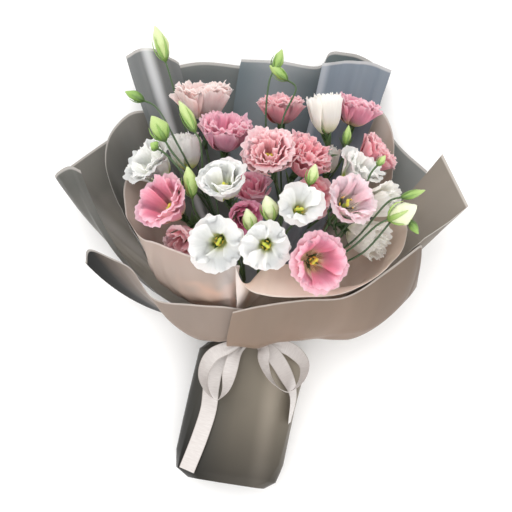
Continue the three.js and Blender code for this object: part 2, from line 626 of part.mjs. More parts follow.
// Each spray: the angle of its stem round the waist, how far its stem leans out to rest on the wrapping
// where that folds out, its fork, and what it carries. A bloom or a bud may have a point that its twig
// passes on the way. One stem stands inside the ring of the others.
const SPRAYS = {
  left: {
    slot: -80, lean: 14, fork: [-52, -14, 84],
    blooms: [["white_left", [-98, 40, 72]], ["pink_left"], ["pink_low", [-60, -8, 98]]], buds: [],
  },
  left_back: {
    slot: -141, lean: 19, fork: [-49, 32, 53],
    blooms: [["salmon_top", [-68, 92, 46]], ["cream_left", [-72, 62, 62]]],
    buds: [
      { base: [-150, 228, 62], tip: [-171, 270, 68], width: 18, via: [-104, 132, 50] },
      { base: [-163, 162, 96], tip: [-187, 168, 100], width: 12, via: [-106, 98, 140] },
      { base: [-124, 104, 142], tip: [-144, 128, 150], width: 21, via: [-84, 66, 136] },
      { base: [-130, 91, 150], tip: [-139, 95, 153], width: 11, via: [-88, 60, 140] },
      { base: [-93, 124, 128], tip: [-119, 160, 124], width: 14, via: [-72, 64, 104] },
    ],
  },
  left_front: {
    slot: -32, lean: 14.6, fork: [-26, 4, 92],
    blooms: [["rose_upper", [-40, 70, 84]], ["white_upper"]],
    buds: [{ base: [-82, 42, 146], tip: [-93, 74, 158], width: 17, via: [-64, 18, 122] }],
  },
  front: {
    slot: 12, lean: 12.8, fork: [-8, -38, 104],
    blooms: [["white_front"], ["deep_pink"]],
    buds: [{ base: [-9, 9, 172], tip: [-19, 31, 182], width: 15, via: [-15, -4, 142] }],
  },
  front_right: {
    slot: 49, lean: 16.8, fork: [22, -30, 108],
    blooms: [["white_low"], ["white_middle", [30, 20, 140]]],
    buds: [
      { base: [11, 24, 172], tip: [0, 48, 186], width: 19, via: [16, 2, 144] },
      { base: [46, 70, 178], tip: [49, 93, 184], width: 13, via: [26, 50, 140] },
    ],
  },
  middle: {
    slot: -32, inside: true, lean: 8.6, fork: [6, 14, 74],
    blooms: [["rose_middle", [22, 58, 96]], ["coral_middle", [24, 74, 92]], ["dusky_middle"], ["pink_under"]], buds: [],
  },
  back: {
    slot: 158, lean: 18.4, fork: [24, 60, 44],
    blooms: [["pink_back", [8, 120, 40]], ["cream_back", [44, 116, 52]], ["green_cream", [50, 90, 50]]],
    buds: [
      { base: [-14, 218, 116], tip: [-8, 244, 122], width: 13, via: [-12, 150, 100] },
      { base: [4, 210, 112], tip: [-20, 222, 119], width: 13, via: [6, 158, 110] },
      { base: [84, 142, 112], tip: [84, 164, 120], width: 9, via: [66, 96, 74] },
    ],
  },
  right_back: {
    slot: 123, lean: 17, fork: [56, 46, 50],
    blooms: [["pink_corner", [88, 118, 50]], ["coral_right", [98, 96, 54]], ["cream_right", [84, 76, 72]]],
    buds: [],
  },
  right: {
    slot: 84, lean: 16.8, fork: [58, -18, 88],
    blooms: [["pink_low_right"], ["light_right"], ["cream_side", [102, 50, 88]], ["cream_low_side", [96, 16, 90]]],
    buds: [
      { base: [141, 50, 156], tip: [170, 70, 162], width: 25, via: [104, 12, 142] },
      { base: [152, 78, 154], tip: [178, 90, 158], width: 9, via: [108, 24, 142] },
      { base: [166, 54, 150], tip: [178, 40, 150], width: 9, via: [118, 10, 136] },
      { base: [121, 112, 151], tip: [128, 124, 155], width: 8, via: [108, 62, 141] },
    ],
  },
};

function twig(start, via, end, axis) {
  const back = end.clone().addScaledVector(axis, -14);
  return through([start, via ? vec(via) : start.clone().lerp(back, 0.5), back, end]);
}

// A twig that widens under a bloom, with five slim sepals.
function stalk(path, base, axis) {
  const foot = base.clone().addScaledVector(axis, -5);
  const seat = base.clone().addScaledVector(axis, -SEAT);
  const places = [...stations(path, Array(4).fill(TWIG_RADIUS)), ...stations(line(foot, seat), [1.5, 3.2])];
  const rings = barRings(places, 5);
  const tips = rings.at(-1).map((point, i) => {
    const side = point.clone().lerp(rings.at(-1)[(i + 1) % 5], 0.5).sub(seat).setLength(SEPAL_REACH);
    return side.add(base).addScaledVector(axis, SEPAL_LIFT);
  });
  return loft(rings, tips);
}

// A twig with a closed bud on its end.
function budded(path, base, tip, width) {
  const axis = tip.clone().sub(base).normalize();
  const swell = [0.7, 1, 0.8, 0.1].map((share) => (share * width) / 2);
  const bud = stations(line(base.clone().addScaledVector(axis, 2), tip), swell);
  return loft(barRings([...stations(path, Array(4).fill(TWIG_RADIUS)), ...bud], 5));
}

function spraySolid({ slot, inside, lean, fork, blooms, buds }) {
  const forkPoint = vec(fork);
  const radius = inside ? BUNDLE_RADIUS - 2 * STEM_RADIUS - SEAT : BUNDLE_RADIUS;
  const stem = through([
    waistPoint(slot, radius * 1.6, FOOT_Y).add(V(0, 0, -8)),
    waistPoint(slot, radius, TIE_TOP - 7),
    waistPoint(slot, radius, TIE_TOP + 1),
    waistPoint(slot, lean, FIRST_FOLD),
    forkPoint,
  ]);
  const solids = [loft(barRings(stations(stem, Array(5).fill(STEM_RADIUS)), 5))];
  for (const [name, via] of blooms) {
    const { base, axis } = BLOOMS[name];
    const path = twig(forkPoint, via, base.clone().addScaledVector(axis, -7), axis);
    solids.push(stalk(path, base, axis));
  }
  for (const { base, tip, width, via } of buds) {
    const axis = vec(tip).sub(vec(base)).normalize();
    solids.push(budded(twig(forkPoint, via, vec(base), axis), vec(base), vec(tip), width));
  }
  return fused(solids);
}

for (const [name, spray] of Object.entries(SPRAYS)) addNode(`spray_${name}`, spraySolid(spray), STEM_GREEN, 0.6);

// The string that holds the stems, in one turn just clear of them.
const tieRadius = (BUNDLE_RADIUS + STEM_RADIUS + SEAT) / Math.cos(rad(15)) + TIE / 2;
const tieSurface = (u, v) => waistPoint(360 * u, tieRadius, TIE_TOP - 5 * v);
addNode("stem_tie", blade(tieSurface, evenly(12), evenly(1), TIE, true), 0x8b7b5e, 0.8);

export default group;
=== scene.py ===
import math
import random
from functools import partial

import bpy
import numpy as np
from mathutils import Matrix, Vector


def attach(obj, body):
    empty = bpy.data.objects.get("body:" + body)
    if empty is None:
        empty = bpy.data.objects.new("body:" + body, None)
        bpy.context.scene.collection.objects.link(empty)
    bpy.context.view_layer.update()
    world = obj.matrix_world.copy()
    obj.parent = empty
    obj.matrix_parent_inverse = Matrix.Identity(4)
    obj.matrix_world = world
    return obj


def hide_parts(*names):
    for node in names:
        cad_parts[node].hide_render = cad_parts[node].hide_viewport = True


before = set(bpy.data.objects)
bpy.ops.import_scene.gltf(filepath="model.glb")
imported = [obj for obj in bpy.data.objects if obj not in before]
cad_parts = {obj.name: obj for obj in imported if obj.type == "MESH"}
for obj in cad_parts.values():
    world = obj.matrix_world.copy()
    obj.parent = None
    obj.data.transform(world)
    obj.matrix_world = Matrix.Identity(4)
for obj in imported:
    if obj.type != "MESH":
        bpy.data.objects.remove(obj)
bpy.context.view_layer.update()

# Camera
# The photograph looks at the bouquet's front, so the camera looks down on it as it lies, a little from
# below the stems' feet, and is turned so that the stems lean to the left as they do in the photograph.
MIDDLE = np.array([6.45, -11.8, 0.0])  # from the tables' origin to the frame's, in millimetres


def to_frame(points):
    """Points of the tables, in millimetres, as points of the frame, in metres."""
    return (np.asarray(points, float) + MIDDLE) / 1000


VIEW_RISE = math.radians(80)
VIEW_TURN = math.radians(9)
VIEW_DISTANCE = 1.2
LENS = 70.1
SENSOR = 36
LOOKS_AT = Vector(to_frame((0, 0, 70)))
away = Vector((0, -math.cos(VIEW_RISE), math.sin(VIEW_RISE)))
right = Matrix.Rotation(VIEW_TURN, 3, away) @ Vector((1, 0, 0))
camera_data = bpy.data.cameras.new("camera")
camera_data.lens = LENS
camera_data.sensor_width = SENSOR
camera = bpy.data.objects.new("camera", camera_data)
bpy.context.scene.collection.objects.link(camera)
axes = Matrix((right, away.cross(right), away)).transposed().to_4x4()
camera.matrix_world = Matrix.Translation(LOOKS_AT + VIEW_DISTANCE * away) @ axes
bpy.context.scene.camera = camera

# Light and table
# A white product shot: a very large soft lamp overhead and to the left, a wide one in front on the right,
# and white light all round. The table is plain and nearly white, with no pattern.
STUDIO_WHITE = "#FFFDFB"
STUDIO_LIGHT = 1.08
LAMPS = (  # name, place, size in metres and power in watts
    ("lamp_over", (-0.9, 0.7, 2.0), 2.4, 24),
    ("lamp_front", (0.7, -1.4, 1.6), 2.0, 16),
)
TABLE_SIZE = 12
bpy.context.scene.view_settings.view_transform = "Standard"


def linear(code):
    """An sRGB hex colour as a linear one."""
    shares = [int(code[i:i + 2], 16) / 255 for i in (1, 3, 5)]
    return [c / 12.92 if c <= 0.04045 else ((c + 0.055) / 1.055) ** 2.4 for c in shares] + [1]


def add_node(tree, kind, inputs, stops=None, **settings):
    """Adds a shader node with its settings, and with its inputs by name or in their own order.

    An input is a value, an output, or a node, whose first output is then linked.
    """
    node = tree.nodes.new("ShaderNode" + kind)
    for name, value in settings.items():
        setattr(node, name, value)
    for name, value in inputs.items() if isinstance(inputs, dict) else enumerate(inputs):
        if isinstance(value, bpy.types.Node):
            value = value.outputs[0]
        if isinstance(value, bpy.types.NodeSocket):
            tree.links.new(value, node.inputs[name])
        else:
            node.inputs[name].default_value = value
    if stops:
        while len(node.color_ramp.elements) < len(stops):
            node.color_ramp.elements.new(1)
        for element, (position, colour) in zip(node.color_ramp.elements, stops):
            element.position = position
            element.color = linear(colour)
    return node


def new_material(name):
    """An empty material, and add_node for its own tree of nodes."""
    material = bpy.data.materials.new(name)
    material.use_nodes = True
    material.node_tree.nodes.clear()
    return material, partial(add_node, material.node_tree)


def finish_material(add, inputs):
    """Ends a material with one Principled shader."""
    shader = add("BsdfPrincipled", inputs)
    add("OutputMaterial", {0: shader})


world = bpy.data.worlds.new("studio")
world.use_nodes = True
world.node_tree.nodes["Background"].inputs[0].default_value = linear(STUDIO_WHITE)
world.node_tree.nodes["Background"].inputs[1].default_value = STUDIO_LIGHT
bpy.context.scene.world = world
for name, place, size, power in LAMPS:
    lamp_data = bpy.data.lights.new(name, "AREA")
    lamp_data.size = size
    lamp_data.energy = power
    lamp = bpy.data.objects.new(name, lamp_data)
    lamp.location = place
    lamp.rotation_mode = "QUATERNION"
    lamp.rotation_quaternion = (LOOKS_AT - Vector(place)).to_track_quat("-Z", "Y")
    bpy.context.scene.collection.objects.link(lamp)

bpy.ops.object.select_all(action="DESELECT")
bpy.ops.mesh.primitive_plane_add(size=TABLE_SIZE)
table = bpy.context.object
table.name = "table"
lacquer, add = new_material("white_lacquered_table")
# matt white lacquer, so plain and dull that only the bouquet's soft shadow shows on it
finish_material(add, {"Base Color": linear("#FDFDFD"), "Roughness": 0.8})
table.data.materials.append(lacquer)

# Stems
# Each branched stem of living lisianthus is thin, waxy and blue-green. It forks above the tie, and each
# twig ends in a bloom with five slim sepals, or in a bud wrapped in a twist of petals.
WAIST = (10, -72, 42)  # middle of the gathered waist
FOOT_Y = -246
TIE_TOP = -81
FIRST_FOLD = -63
BUNDLE_RADIUS = 9.9
INSIDE_RADIUS = 5.8
STEM_RADIUS = 1.9
TWIG_RADIUS = 1.2
SEPAL_SIZE = (9, 3.2)  # reach and width
LEAF_SIZE = (19, 9)
LEAF_SHARES = (0.42, 0.6, 0.78)  # where a bloom's twig has its pairs of leaves
LEAF_THICKNESS = 0.4
BUD_PLACES = (0, 0.04, 0.2, 0.42, 0.66, 0.84, 0.95, 1)  # shares of a bud's length
BUD_SWELL = (0, 0.36, 0.78, 1, 0.82, 0.46, 0.2, 0)  # shares of its half width there
STEM_RIPE = 0.12  # from 0, dark green, to 1, nearly white
TWIG_RIPE = 0.14
BUD_TWIG_RIPE = 0.05
SEPAL_RIPE = 0.3
LEAF_RIPE = 0.1
MOTTLE = 0.8  # size of the spots on stems and buds

# Each bloom: a point on its axis 0.6 of the way up, the way it faces as [turn from +Y towards +X, lift
# towards +Z] in degrees, its width, its form and its colour.
BLOOMS = {
    "salmon_top": ((-94, 182, 80), (-10, 24), 74, "side_double", "salmon"),
    "rose_upper": ((-58, 134, 114), (-4, 38), 66, "side_double", "lilac_pink"),
    "rose_middle": ((-4, 106, 152), (-30, 72), 62, "double", "rose"),
    "coral_middle": ((40, 116, 126), (28, 46), 62, "double", "coral"),
    "pink_back": ((2, 186, 78), (-10, 28), 56, "side_double", "coral"),
    "cream_back": ((54, 184, 98), (-16, 20), 44, "half_open", "cream"),
    "green_cream": ((68, 138, 60), (-6, 24), 32, "half_open", "cream"),
    "pink_corner": ((94, 200, 74), (8, 24), 58, "side_double", "pink"),
    "white_left": ((-138, 82, 104), (-66, 40), 66, "full_cup", "white"),
    "pink_left": ((-110, 28, 148), (-74, 50), 70, "cup", "pink"),
    "pink_low": ((-84, -6, 134), (200, 44), 48, "small_cup", "rose"),
    "white_upper": ((-49, 60, 164), (-34, 58), 58, "rose_cup", "white"),
    "cream_left": ((-104, 110, 98), (-18, 24), 40, "half_open", "white"),
    "white_front": ((-44, -10, 174), (192, 72), 66, "single", "white"),
    "deep_pink": ((-20, 30, 146), (140, 58), 46, "small_cup", "deep_pink"),
    "white_low": ((9, -8, 188), (176, 74), 56, "single", "white"),
    "white_middle": ((39, 40, 188), (4, 80), 54, "single", "white"),
    "pink_low_right": ((66, -16, 184), (124, 70), 70, "cup", "pink"),
    "light_right": ((93, 60, 168), (52, 68), 62, "cup", "light_pink"),
    "cream_right": ((103, 112, 118), (34, 38), 60, "full_cup", "white"),
    "coral_right": ((126, 146, 82), (44, 24), 54, "side_double", "coral"),
    "dusky_middle": ((-17, 73, 96), (-16, 56), 52, "small_cup", "lilac_pink"),
    "pink_under": ((52, 71, 117), (110, 62), 54, "small_cup", "coral"),
    "cream_side": ((134, 78, 123), (72, 36), 44, "half_open", "cream"),
    "cream_low_side": ((127, 34, 110), (114, 30), 46, "half_open", "cream"),
}
HEIGHTS = {  # of each form, as shares of its width
    "single": 0.62, "cup": 0.6, "full_cup": 0.6, "rose_cup": 0.6, "small_cup": 0.62, "double": 0.58,
    "side_double": 0.6, "half_open": 1.08}

# Each spray: the angle of its stem round the waist, its radius there, how far it leans out over the tie,
# its fork, its blooms with a point that the twig passes, and its buds as (base, tip, width, point passed,
# ripeness: 0.4 is a hard green bud and 1 a swollen pale one).
SPRAYS = {
    "left": (-80, BUNDLE_RADIUS, 14, (-52, -14, 84), (
        ("white_left", (-98, 40, 72)), ("pink_left", None), ("pink_low", (-60, -8, 98))), ()),
    "left_back": (-141, BUNDLE_RADIUS, 19, (-49, 32, 53), (
        ("salmon_top", (-68, 92, 46)), ("cream_left", (-72, 62, 62))), (
        ((-150, 228, 62), (-171, 270, 68), 18, (-104, 132, 50), 0.7),
        ((-163, 162, 96), (-187, 168, 100), 12, (-106, 98, 140), 0.4),
        ((-124, 104, 142), (-144, 128, 150), 21, (-84, 66, 136), 0.55),
        ((-130, 91, 150), (-139, 95, 153), 11, (-88, 60, 140), 0.45),
        ((-93, 124, 128), (-119, 160, 124), 14, (-72, 64, 104), 0.62))),
    "left_front": (-32, BUNDLE_RADIUS, 14.6, (-26, 4, 92), (
        ("rose_upper", (-40, 70, 84)), ("white_upper", None)), (
        ((-82, 42, 146), (-93, 74, 158), 17, (-64, 18, 122), 0.6),)),
    "front": (12, BUNDLE_RADIUS, 12.8, (-8, -38, 104), (
        ("white_front", None), ("deep_pink", None)), (
        ((-9, 9, 172), (-19, 31, 182), 15, (-15, -4, 142), 0.75),)),
    "front_right": (49, BUNDLE_RADIUS, 16.8, (22, -30, 108), (
        ("white_low", None), ("white_middle", (30, 20, 140))), (
        ((11, 24, 172), (0, 48, 186), 19, (16, 2, 144), 0.8),
        ((46, 70, 178), (49, 93, 184), 13, (26, 50, 140), 0.7))),
    "middle": (-32, INSIDE_RADIUS, 8.6, (6, 14, 74), (
        ("rose_middle", (22, 58, 96)), ("coral_middle", (24, 74, 92)), ("dusky_middle", None),
        ("pink_under", None)), ()),
    "back": (158, BUNDLE_RADIUS, 18.4, (24, 60, 44), (
        ("pink_back", (8, 120, 40)), ("cream_back", (44, 116, 52)), ("green_cream", (50, 90, 50))), (
        ((-14, 218, 116), (-8, 244, 122), 13, (-12, 150, 100), 0.5),
        ((4, 210, 112), (-20, 222, 119), 13, (6, 158, 110), 0.5),
        ((84, 142, 112), (84, 164, 120), 9, (66, 96, 74), 0.5))),
    "right_back": (123, BUNDLE_RADIUS, 17, (56, 46, 50), (
        ("pink_corner", (88, 118, 50)), ("coral_right", (98, 96, 54)), ("cream_right", (84, 76, 72))), ()),
    "right": (84, BUNDLE_RADIUS, 16.8, (58, -18, 88), (
        ("pink_low_right", None), ("light_right", None), ("cream_side", (102, 50, 88)),
        ("cream_low_side", (96, 16, 90))), (
        ((141, 50, 156), (170, 70, 162), 25, (104, 12, 142), 0.88),
        ((152, 78, 154), (178, 90, 158), 9, (108, 24, 142), 0.5),
        ((166, 54, 150), (178, 40, 150), 9, (118, 10, 136), 0.4),
        ((121, 112, 151), (128, 124, 155), 8, (108, 62, 141), 0.6))),
}


def unit(vectors):
    """The vectors, one or one in each row, at a length of one."""
    return vectors / np.linalg.norm(vectors, axis=-1, keepdims=True)


def through(points):
    """A smooth line through the points, as a function of the share of their number."""
    points = np.array(points, float)
    held = np.vstack([2 * points[0] - points[1], points, 2 * points[-1] - points[-2]])

    def at(share):
        along = np.clip(np.atleast_1d(share), 0, 1) * (len(points) - 1)
        k = np.minimum(along.astype(int), len(points) - 2)
        t = (along - k)[:, None]
        a, b, c, d = (held[k + i] for i in range(4))
        ab, bc, cd = (
            np.maximum(np.linalg.norm(q - p, axis=1, keepdims=True) ** 0.5, 1e-4)
            for p, q in ((a, b), (b, c), (c, d)))
        leaving = bc * ((b - a) / ab - (c - a) / (ab + bc) + (c - b) / bc)
        arriving = bc * ((c - b) / bc - (d - b) / (bc + cd) + (d - c) / cd)
        cubic = 2 * b - 2 * c + leaving + arriving
        square = 3 * c - 3 * b - 2 * leaving - arriving
        return b + t * (leaving + t * (square + t * cubic))

    return at


def waist_point(angle, radius, y):
    """A point round the waist's axis, at degrees clockwise from the top, seen from the blooms."""
    turn = np.radians(angle)
    x, z = WAIST[0] + radius * np.sin(turn), WAIST[2] + radius * np.cos(turn)
    return np.stack([x, y + 0 * turn, z], -1)


def facing(turn, lift):
    """The unit vector that looks turn degrees from +Y towards +X and lift degrees up."""
    turn, lift = math.radians(turn), math.radians(lift)
    level = math.cos(lift)
    return np.array([math.sin(turn) * level, math.cos(turn) * level, math.sin(lift)])


def grids(name, surfaces, across, along):
    """One mesh of grids of quads, each laid on its own surface of u across it and v along it."""
    for k in range(len(surfaces)):
        bpy.ops.mesh.primitive_grid_add(x_subdivisions=across, y_subdivisions=along, size=2)
        if k == 0:
            piece = bpy.context.object
            bpy.ops.object.mode_set(mode="EDIT")
    bpy.ops.object.mode_set(mode="OBJECT")
    piece.name = name
    points = np.empty(len(piece.data.vertices) * 3)
    piece.data.vertices.foreach_get("co", points)
    points = points.reshape(len(surfaces), -1, 3)
    laid = [surface((p[:, 0] + 1) / 2, (p[:, 1] + 1) / 2) for surface, p in zip(surfaces, points)]
    piece.data.vertices.foreach_set("co", to_frame(np.concatenate(laid)).ravel())
    piece.data.update()
    return piece


def mark(piece, name, values):
    """Gives each point of the piece a number that its material reads."""
    attribute = piece.data.attributes.new(name, "FLOAT", "POINT")
    values = np.broadcast_to(values, len(piece.data.vertices)).astype(np.float32)
    attribute.data.foreach_set("value", values)


def applied(piece, kind, **settings):
    """Adds one modifier with its settings and applies it."""
    modifier = piece.modifiers.new(kind.lower(), kind)
    for name, value in settings.items():
        setattr(modifier, name, value)
    bpy.context.view_layer.objects.active = piece
    bpy.ops.object.modifier_apply(modifier=modifier.name)


def select_only(pieces):
    """Selects these pieces and nothing else, and makes the first one active."""
    bpy.ops.object.select_all(action="DESELECT")
    for piece in pieces:
        piece.select_set(True)
    bpy.context.view_layer.objects.active = pieces[0]


def joined(pieces, name):
    """The pieces as one object with one mesh."""
    select_only(pieces)
    bpy.ops.object.join()
    pieces[0].name = name
    return pieces[0]


def closed(piece):
    """Merges a grid's meeting sides and turns all its faces outwards."""
    select_only([piece])
    bpy.ops.object.mode_set(mode="EDIT")
    bpy.ops.mesh.select_all(action="SELECT")
    bpy.ops.mesh.remove_doubles(threshold=0.00001)
    bpy.ops.mesh.normals_make_consistent(inside=False)
    bpy.ops.object.mode_set(mode="OBJECT")
    return piece


def across_axis(axis):
    """Two unit vectors at right angles to the axis and to each other."""
    side = unit(np.cross(axis, (0, 0, 1) if abs(axis[2]) < 0.9 else (1, 0, 0)))
    return side, np.cross(axis, side)


def tube(line, radius_at):
    """A surface round a line, with a radius at each share of it and its ends drawn to a point."""
    def surface(u, v):
        middle = line(v)
        axis = unit(line(np.minimum(v + 0.01, 1)) - line(np.maximum(v - 0.01, 0)))
        side = unit(np.cross(axis, (0.36, -0.48, 0.8)))
        turn = 2 * np.pi * u[:, None]
        end = np.clip(np.minimum(v, 1 - v) * 400, 0, 1)
        radius = (radius_at(v) * end)[:, None]
        return middle + radius * (np.cos(turn) * side + np.sin(turn) * np.cross(axis, side))

    return surface


def bud_skin(base, tip, width):
    """A closed bud: petals furled in a spiral, with its point drawn out."""
    base, tip = np.array(base, float), np.array(tip, float)
    axis = unit(tip - base)
    side, other = across_axis(axis)
    length = np.linalg.norm(tip - base)

    def surface(u, v):
        turn = 2 * np.pi * u
        swell = np.interp(v, BUD_PLACES, BUD_SWELL)
        fold = ((turn * 1.5 / np.pi + 1.9 * v) % 1) ** 1.6
        furl = 0.93 + 0.2 * fold * np.clip(v * 3, 0, 1)
        radius = (width / 2 * swell * furl)[:, None]
        lean = (0.07 * width * np.sin(3 * v))[:, None]
        round_it = np.cos(turn)[:, None] * side + np.sin(turn)[:, None] * other
        return base + (v * length)[:, None] * axis + radius * round_it + lean * side

    return surface


def sepal(base, axis, turn, reach, width, places, spread):
    """One slim sepal or leaf, which at each place, a share of its reach, stands so far off the axis."""
    side, other = across_axis(axis)
    out = math.cos(turn) * side + math.sin(turn) * other
    flat = math.cos(turn) * other - math.sin(turn) * side

    def surface(u, v):
        half = width / 2 * np.interp(v, (0, 0.3, 0.8, 1), (0.8, 1, 0.4, 0.03))
        outward = np.interp(v, places, spread)
        return (
            base + (outward - 0.5 * np.abs(2 * u - 1) * half)[:, None] * out
            + ((2 * u - 1) * half)[:, None] * flat + (v * reach - 1)[:, None] * axis
        )

    return surface


def twig_points(fork, passed, base, axis):
    """The points of a twig from its fork to the foot of its bloom or bud."""
    back = base - 14 * axis
    return [fork, passed if passed else (fork + back) / 2, back, base]


stem_skin, add = new_material("waxy_stem_and_bud")
# living stem, leaf and bud: the wax gives a soft broad gloss, and ripeness runs from dark to pale green
ripe = add("Attribute", {}, attribute_name="ripe")
place = add("TexCoord", {}).outputs["Object"]
spots = add("TexNoise", {"Vector": place, "Scale": 1000 / MOTTLE, "Detail": 2})
varied = add("Math", (spots, 0.22, -0.11), operation="MULTIPLY_ADD")
flat = add("UVMap", {}, uv_map="UVMap")
along = add("SeparateXYZ", {0: flat})
tip_paler = add("Math", (along.outputs["Y"], 0.2, -0.1), operation="MULTIPLY_ADD")
mottled = add("Math", (ripe.outputs["Fac"], varied), operation="ADD")
ripeness = add("Math", (mottled, tip_paler), operation="ADD")
green = add("ValToRGB", {0: ripeness}, stops=[
    (0, "#31492B"), (0.25, "#4F6E3B"), (0.45, "#86AB52"), (0.65, "#B9CC85"), (0.85, "#D8E0B8"),
    (1, "#ECEFDA")])
bump = add("Bump", {"Strength": 0.25, "Distance": 0.0003, "Height": spots})
finish_material(add, {
    "Base Color": green, "Roughness": 0.42, "Normal": bump,
    "Coat Weight": 0.12, "Coat Roughness": 0.35})

blooms = {}
for index, (name, (at, faces, width, form, colour)) in enumerate(BLOOMS.items()):
    axis = facing(*faces)
    height = width * HEIGHTS[form]
    blooms[name] = {
        "axis": axis, "height": height, "base": np.array(at) - 0.6 * height * axis, "width": width,
        "form": form, "colour": colour, "turn": index * 0.7}

for name, (angle, radius, lean, fork, carried, buds) in SPRAYS.items():
    fork = np.array(fork, float)
    stem = through([
        waist_point(angle, radius * 1.6, FOOT_Y) - (0, 0, 8), waist_point(angle, radius, TIE_TOP - 7),
        waist_point(angle, radius, TIE_TOP + 1), waist_point(angle, lean, FIRST_FOLD), fork])
    # a stem thins towards its fork, where it swells
    tubes = [tube(stem, lambda v: STEM_RADIUS * (1 - 0.15 * v) + 0.5 * np.exp(-((v - 0.99) / 0.02) ** 2))]
    ripenesses = [STEM_RIPE]
    slim = []
    skins = []
    for bloom, passed in carried:
        axis, base = blooms[bloom]["axis"], blooms[bloom]["base"]
        foot = base - 7 * axis
        line = through(twig_points(fork, passed, foot, axis) + [base - 0.3 * axis])
        tubes.append(tube(line, lambda v: np.interp(
            v, (0, 0.03, 0.72, 0.84, 0.93, 1), (1.5, TWIG_RADIUS, TWIG_RADIUS, 1.9, 2.9, 3.3))))
        ripenesses.append(TWIG_RIPE)
        for k in range(5):
            turn = 2 * math.pi * k / 5 + len(tubes)
            held = sepal(base, axis, turn, *SEPAL_SIZE, (0, 0.3, 0.7, 1), (2.6, 6.4, 9.6, 11))
            slim.append((held, SEPAL_RIPE))
        for share in LEAF_SHARES:
            start, on = line(np.array([share, share + 0.02]))
            along_twig = unit(on - start)
            for side in (0, math.pi):
                turn = len(tubes) + 9 * share + side
                leaf = sepal(start, along_twig, turn, *LEAF_SIZE, (0, 0.2, 0.6, 1), (0.8, 2, 6, 10))
                slim.append((leaf, LEAF_RIPE))
    for base, tip, width, passed, ripeness in buds:
        base, tip = np.array(base, float), np.array(tip, float)
        axis = unit(tip - base)
        line = through(twig_points(fork, passed, base + axis, axis))
        tubes.append(tube(line, lambda v: np.interp(v, (0, 0.04, 0.93, 1), (1.4, 1.2, 1.2, 1.7))))
        ripenesses.append(BUD_TWIG_RIPE)
        skins.append((bud_skin(base, tip, width), ripeness))
        reach = 0.7 * np.linalg.norm(tip - base)
        swell = 0.4 + 0.565 * width * np.array((0.04, 0.36, 0.78, 1, 0.84, 0.8))
        for k in range(5):
            turn = 2 * math.pi * k / 5 + width
            held = sepal(base, axis, turn, reach, 0.26 * width, (0, 0.06, 0.29, 0.6, 0.94, 1), swell)
            slim.append((held, 0.1 + 0.5 * ripeness))
    parts = []
    for kind, made, columns, rows in (
        ("stem", list(zip(tubes, ripenesses)), 8, 44), ("bud", skins, 24, 18), ("sepal", slim, 2, 6)
    ):
        if not made:
            continue
        part = grids(kind, [surface for surface, _ in made], columns, rows)
        count = len(part.data.vertices) // len(made)
        mark(part, "ripe", np.repeat([value for _, value in made], count))
        if kind == "sepal":
            applied(part, "SOLIDIFY", thickness=LEAF_THICKNESS / 1000, offset=0)
        parts.append(closed(part))
    spray = joined(parts, "stems_" + name)
    spray.data.materials.append(stem_skin)
    bpy.ops.object.shade_smooth()
    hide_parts("spray_" + name)
    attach(spray, "root")

# String
# Florist's jute string, two plies twisted together and drawn round the stems below the fold of the
# wrapping. It is wound five times side by side.
STRING_TURNS = 5
STRING_RADIUS = 0.72
STRING_PATH = (BUNDLE_RADIUS + STEM_RADIUS + 0.3) / math.cos(math.radians(15)) + 0.8
STRING_SPAN = 3.6  # along the stems, from the middle of the first turn to the middle of the last
TWISTS = 60  # of the two plies, over the whole string
STRING_GRID = (6, 900)
JUTE_FIBRE = 0.385
winding = []
for k in range(2):
    def ply(v, k=k):
        turn = 360 * STRING_TURNS * v
        twist = 2 * np.pi * TWISTS * v + math.pi * k
        off = STRING_RADIUS / 2
        ring = waist_point(turn, STRING_PATH + off * np.cos(twist), TIE_TOP - 0.7 - STRING_SPAN * v)
        return ring + np.stack([0 * v, off * np.sin(twist), 0 * v], -1)
    winding.append(tube(ply, lambda v: 0 * v + STRING_RADIUS / 2))
string = closed(grids("string", winding, *STRING_GRID))
jute, add = new_material("twisted_jute_string")
# coarse jute: dull, with pale and dark fibres about 0.4 mm apart along the twist
place = add("TexCoord", {}).outputs["Object"]
fibres = add("TexNoise", {"Vector": place, "Scale": 1000 / JUTE_FIBRE, "Detail": 3})
straw = add("ValToRGB", {0: fibres}, stops=[
    (0.25, "#7A6443"), (0.55, "#A78C62"), (0.8, "#C9B28A")])
bump = add("Bump", {"Strength": 0.7, "Distance": 0.0002, "Height": fibres})
finish_material(add, {"Base Color": straw, "Roughness": 0.9, "Normal": bump})
string.data.materials.append(jute)
bpy.ops.object.shade_smooth()
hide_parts("stem_tie")
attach(string, "root")

# Blooms
# Lisianthus petals are thin, soft and wide, and grow in whorls from a short core. Each petal's leading side
# lies over the next one like the blades of a pinwheel, and the rims are waved, or fringed on the doubles.
PETAL_THICKNESS = 0.3
PETAL_GRID = (30, 12)
PETAL_SIZE = (34, 44)  # of a middling petal, across and along
VEIN_SIZE = (1, 20)  # how far apart the veins are, and how far one runs
BLOTCH = 0.75  # uneven patches where a petal's colours meet
SHARP = math.radians(75)  # thin edges stay sharp, and all else is shaded smooth
PASS = 2.6  # how far a petal's leading side stands in front of its middle
CORE = (3.4, 0.5, 1.4)  # radius of the core at the outer whorl, less for each further one, and the least
COMMON_WIDTH = 66  # the waves below are for a bloom of this width
WAVES = (  # slow waves, ruffles and teeth, each as two sets of (slowest, fastest, share)
    ((2.2, 3.4, 1), (5, 8, 0.45)),
    ((10, 13, 0.7), (15, 20, 0.5)),
    ((11, 16, 0.6), (20, 27, 0.5)),
)
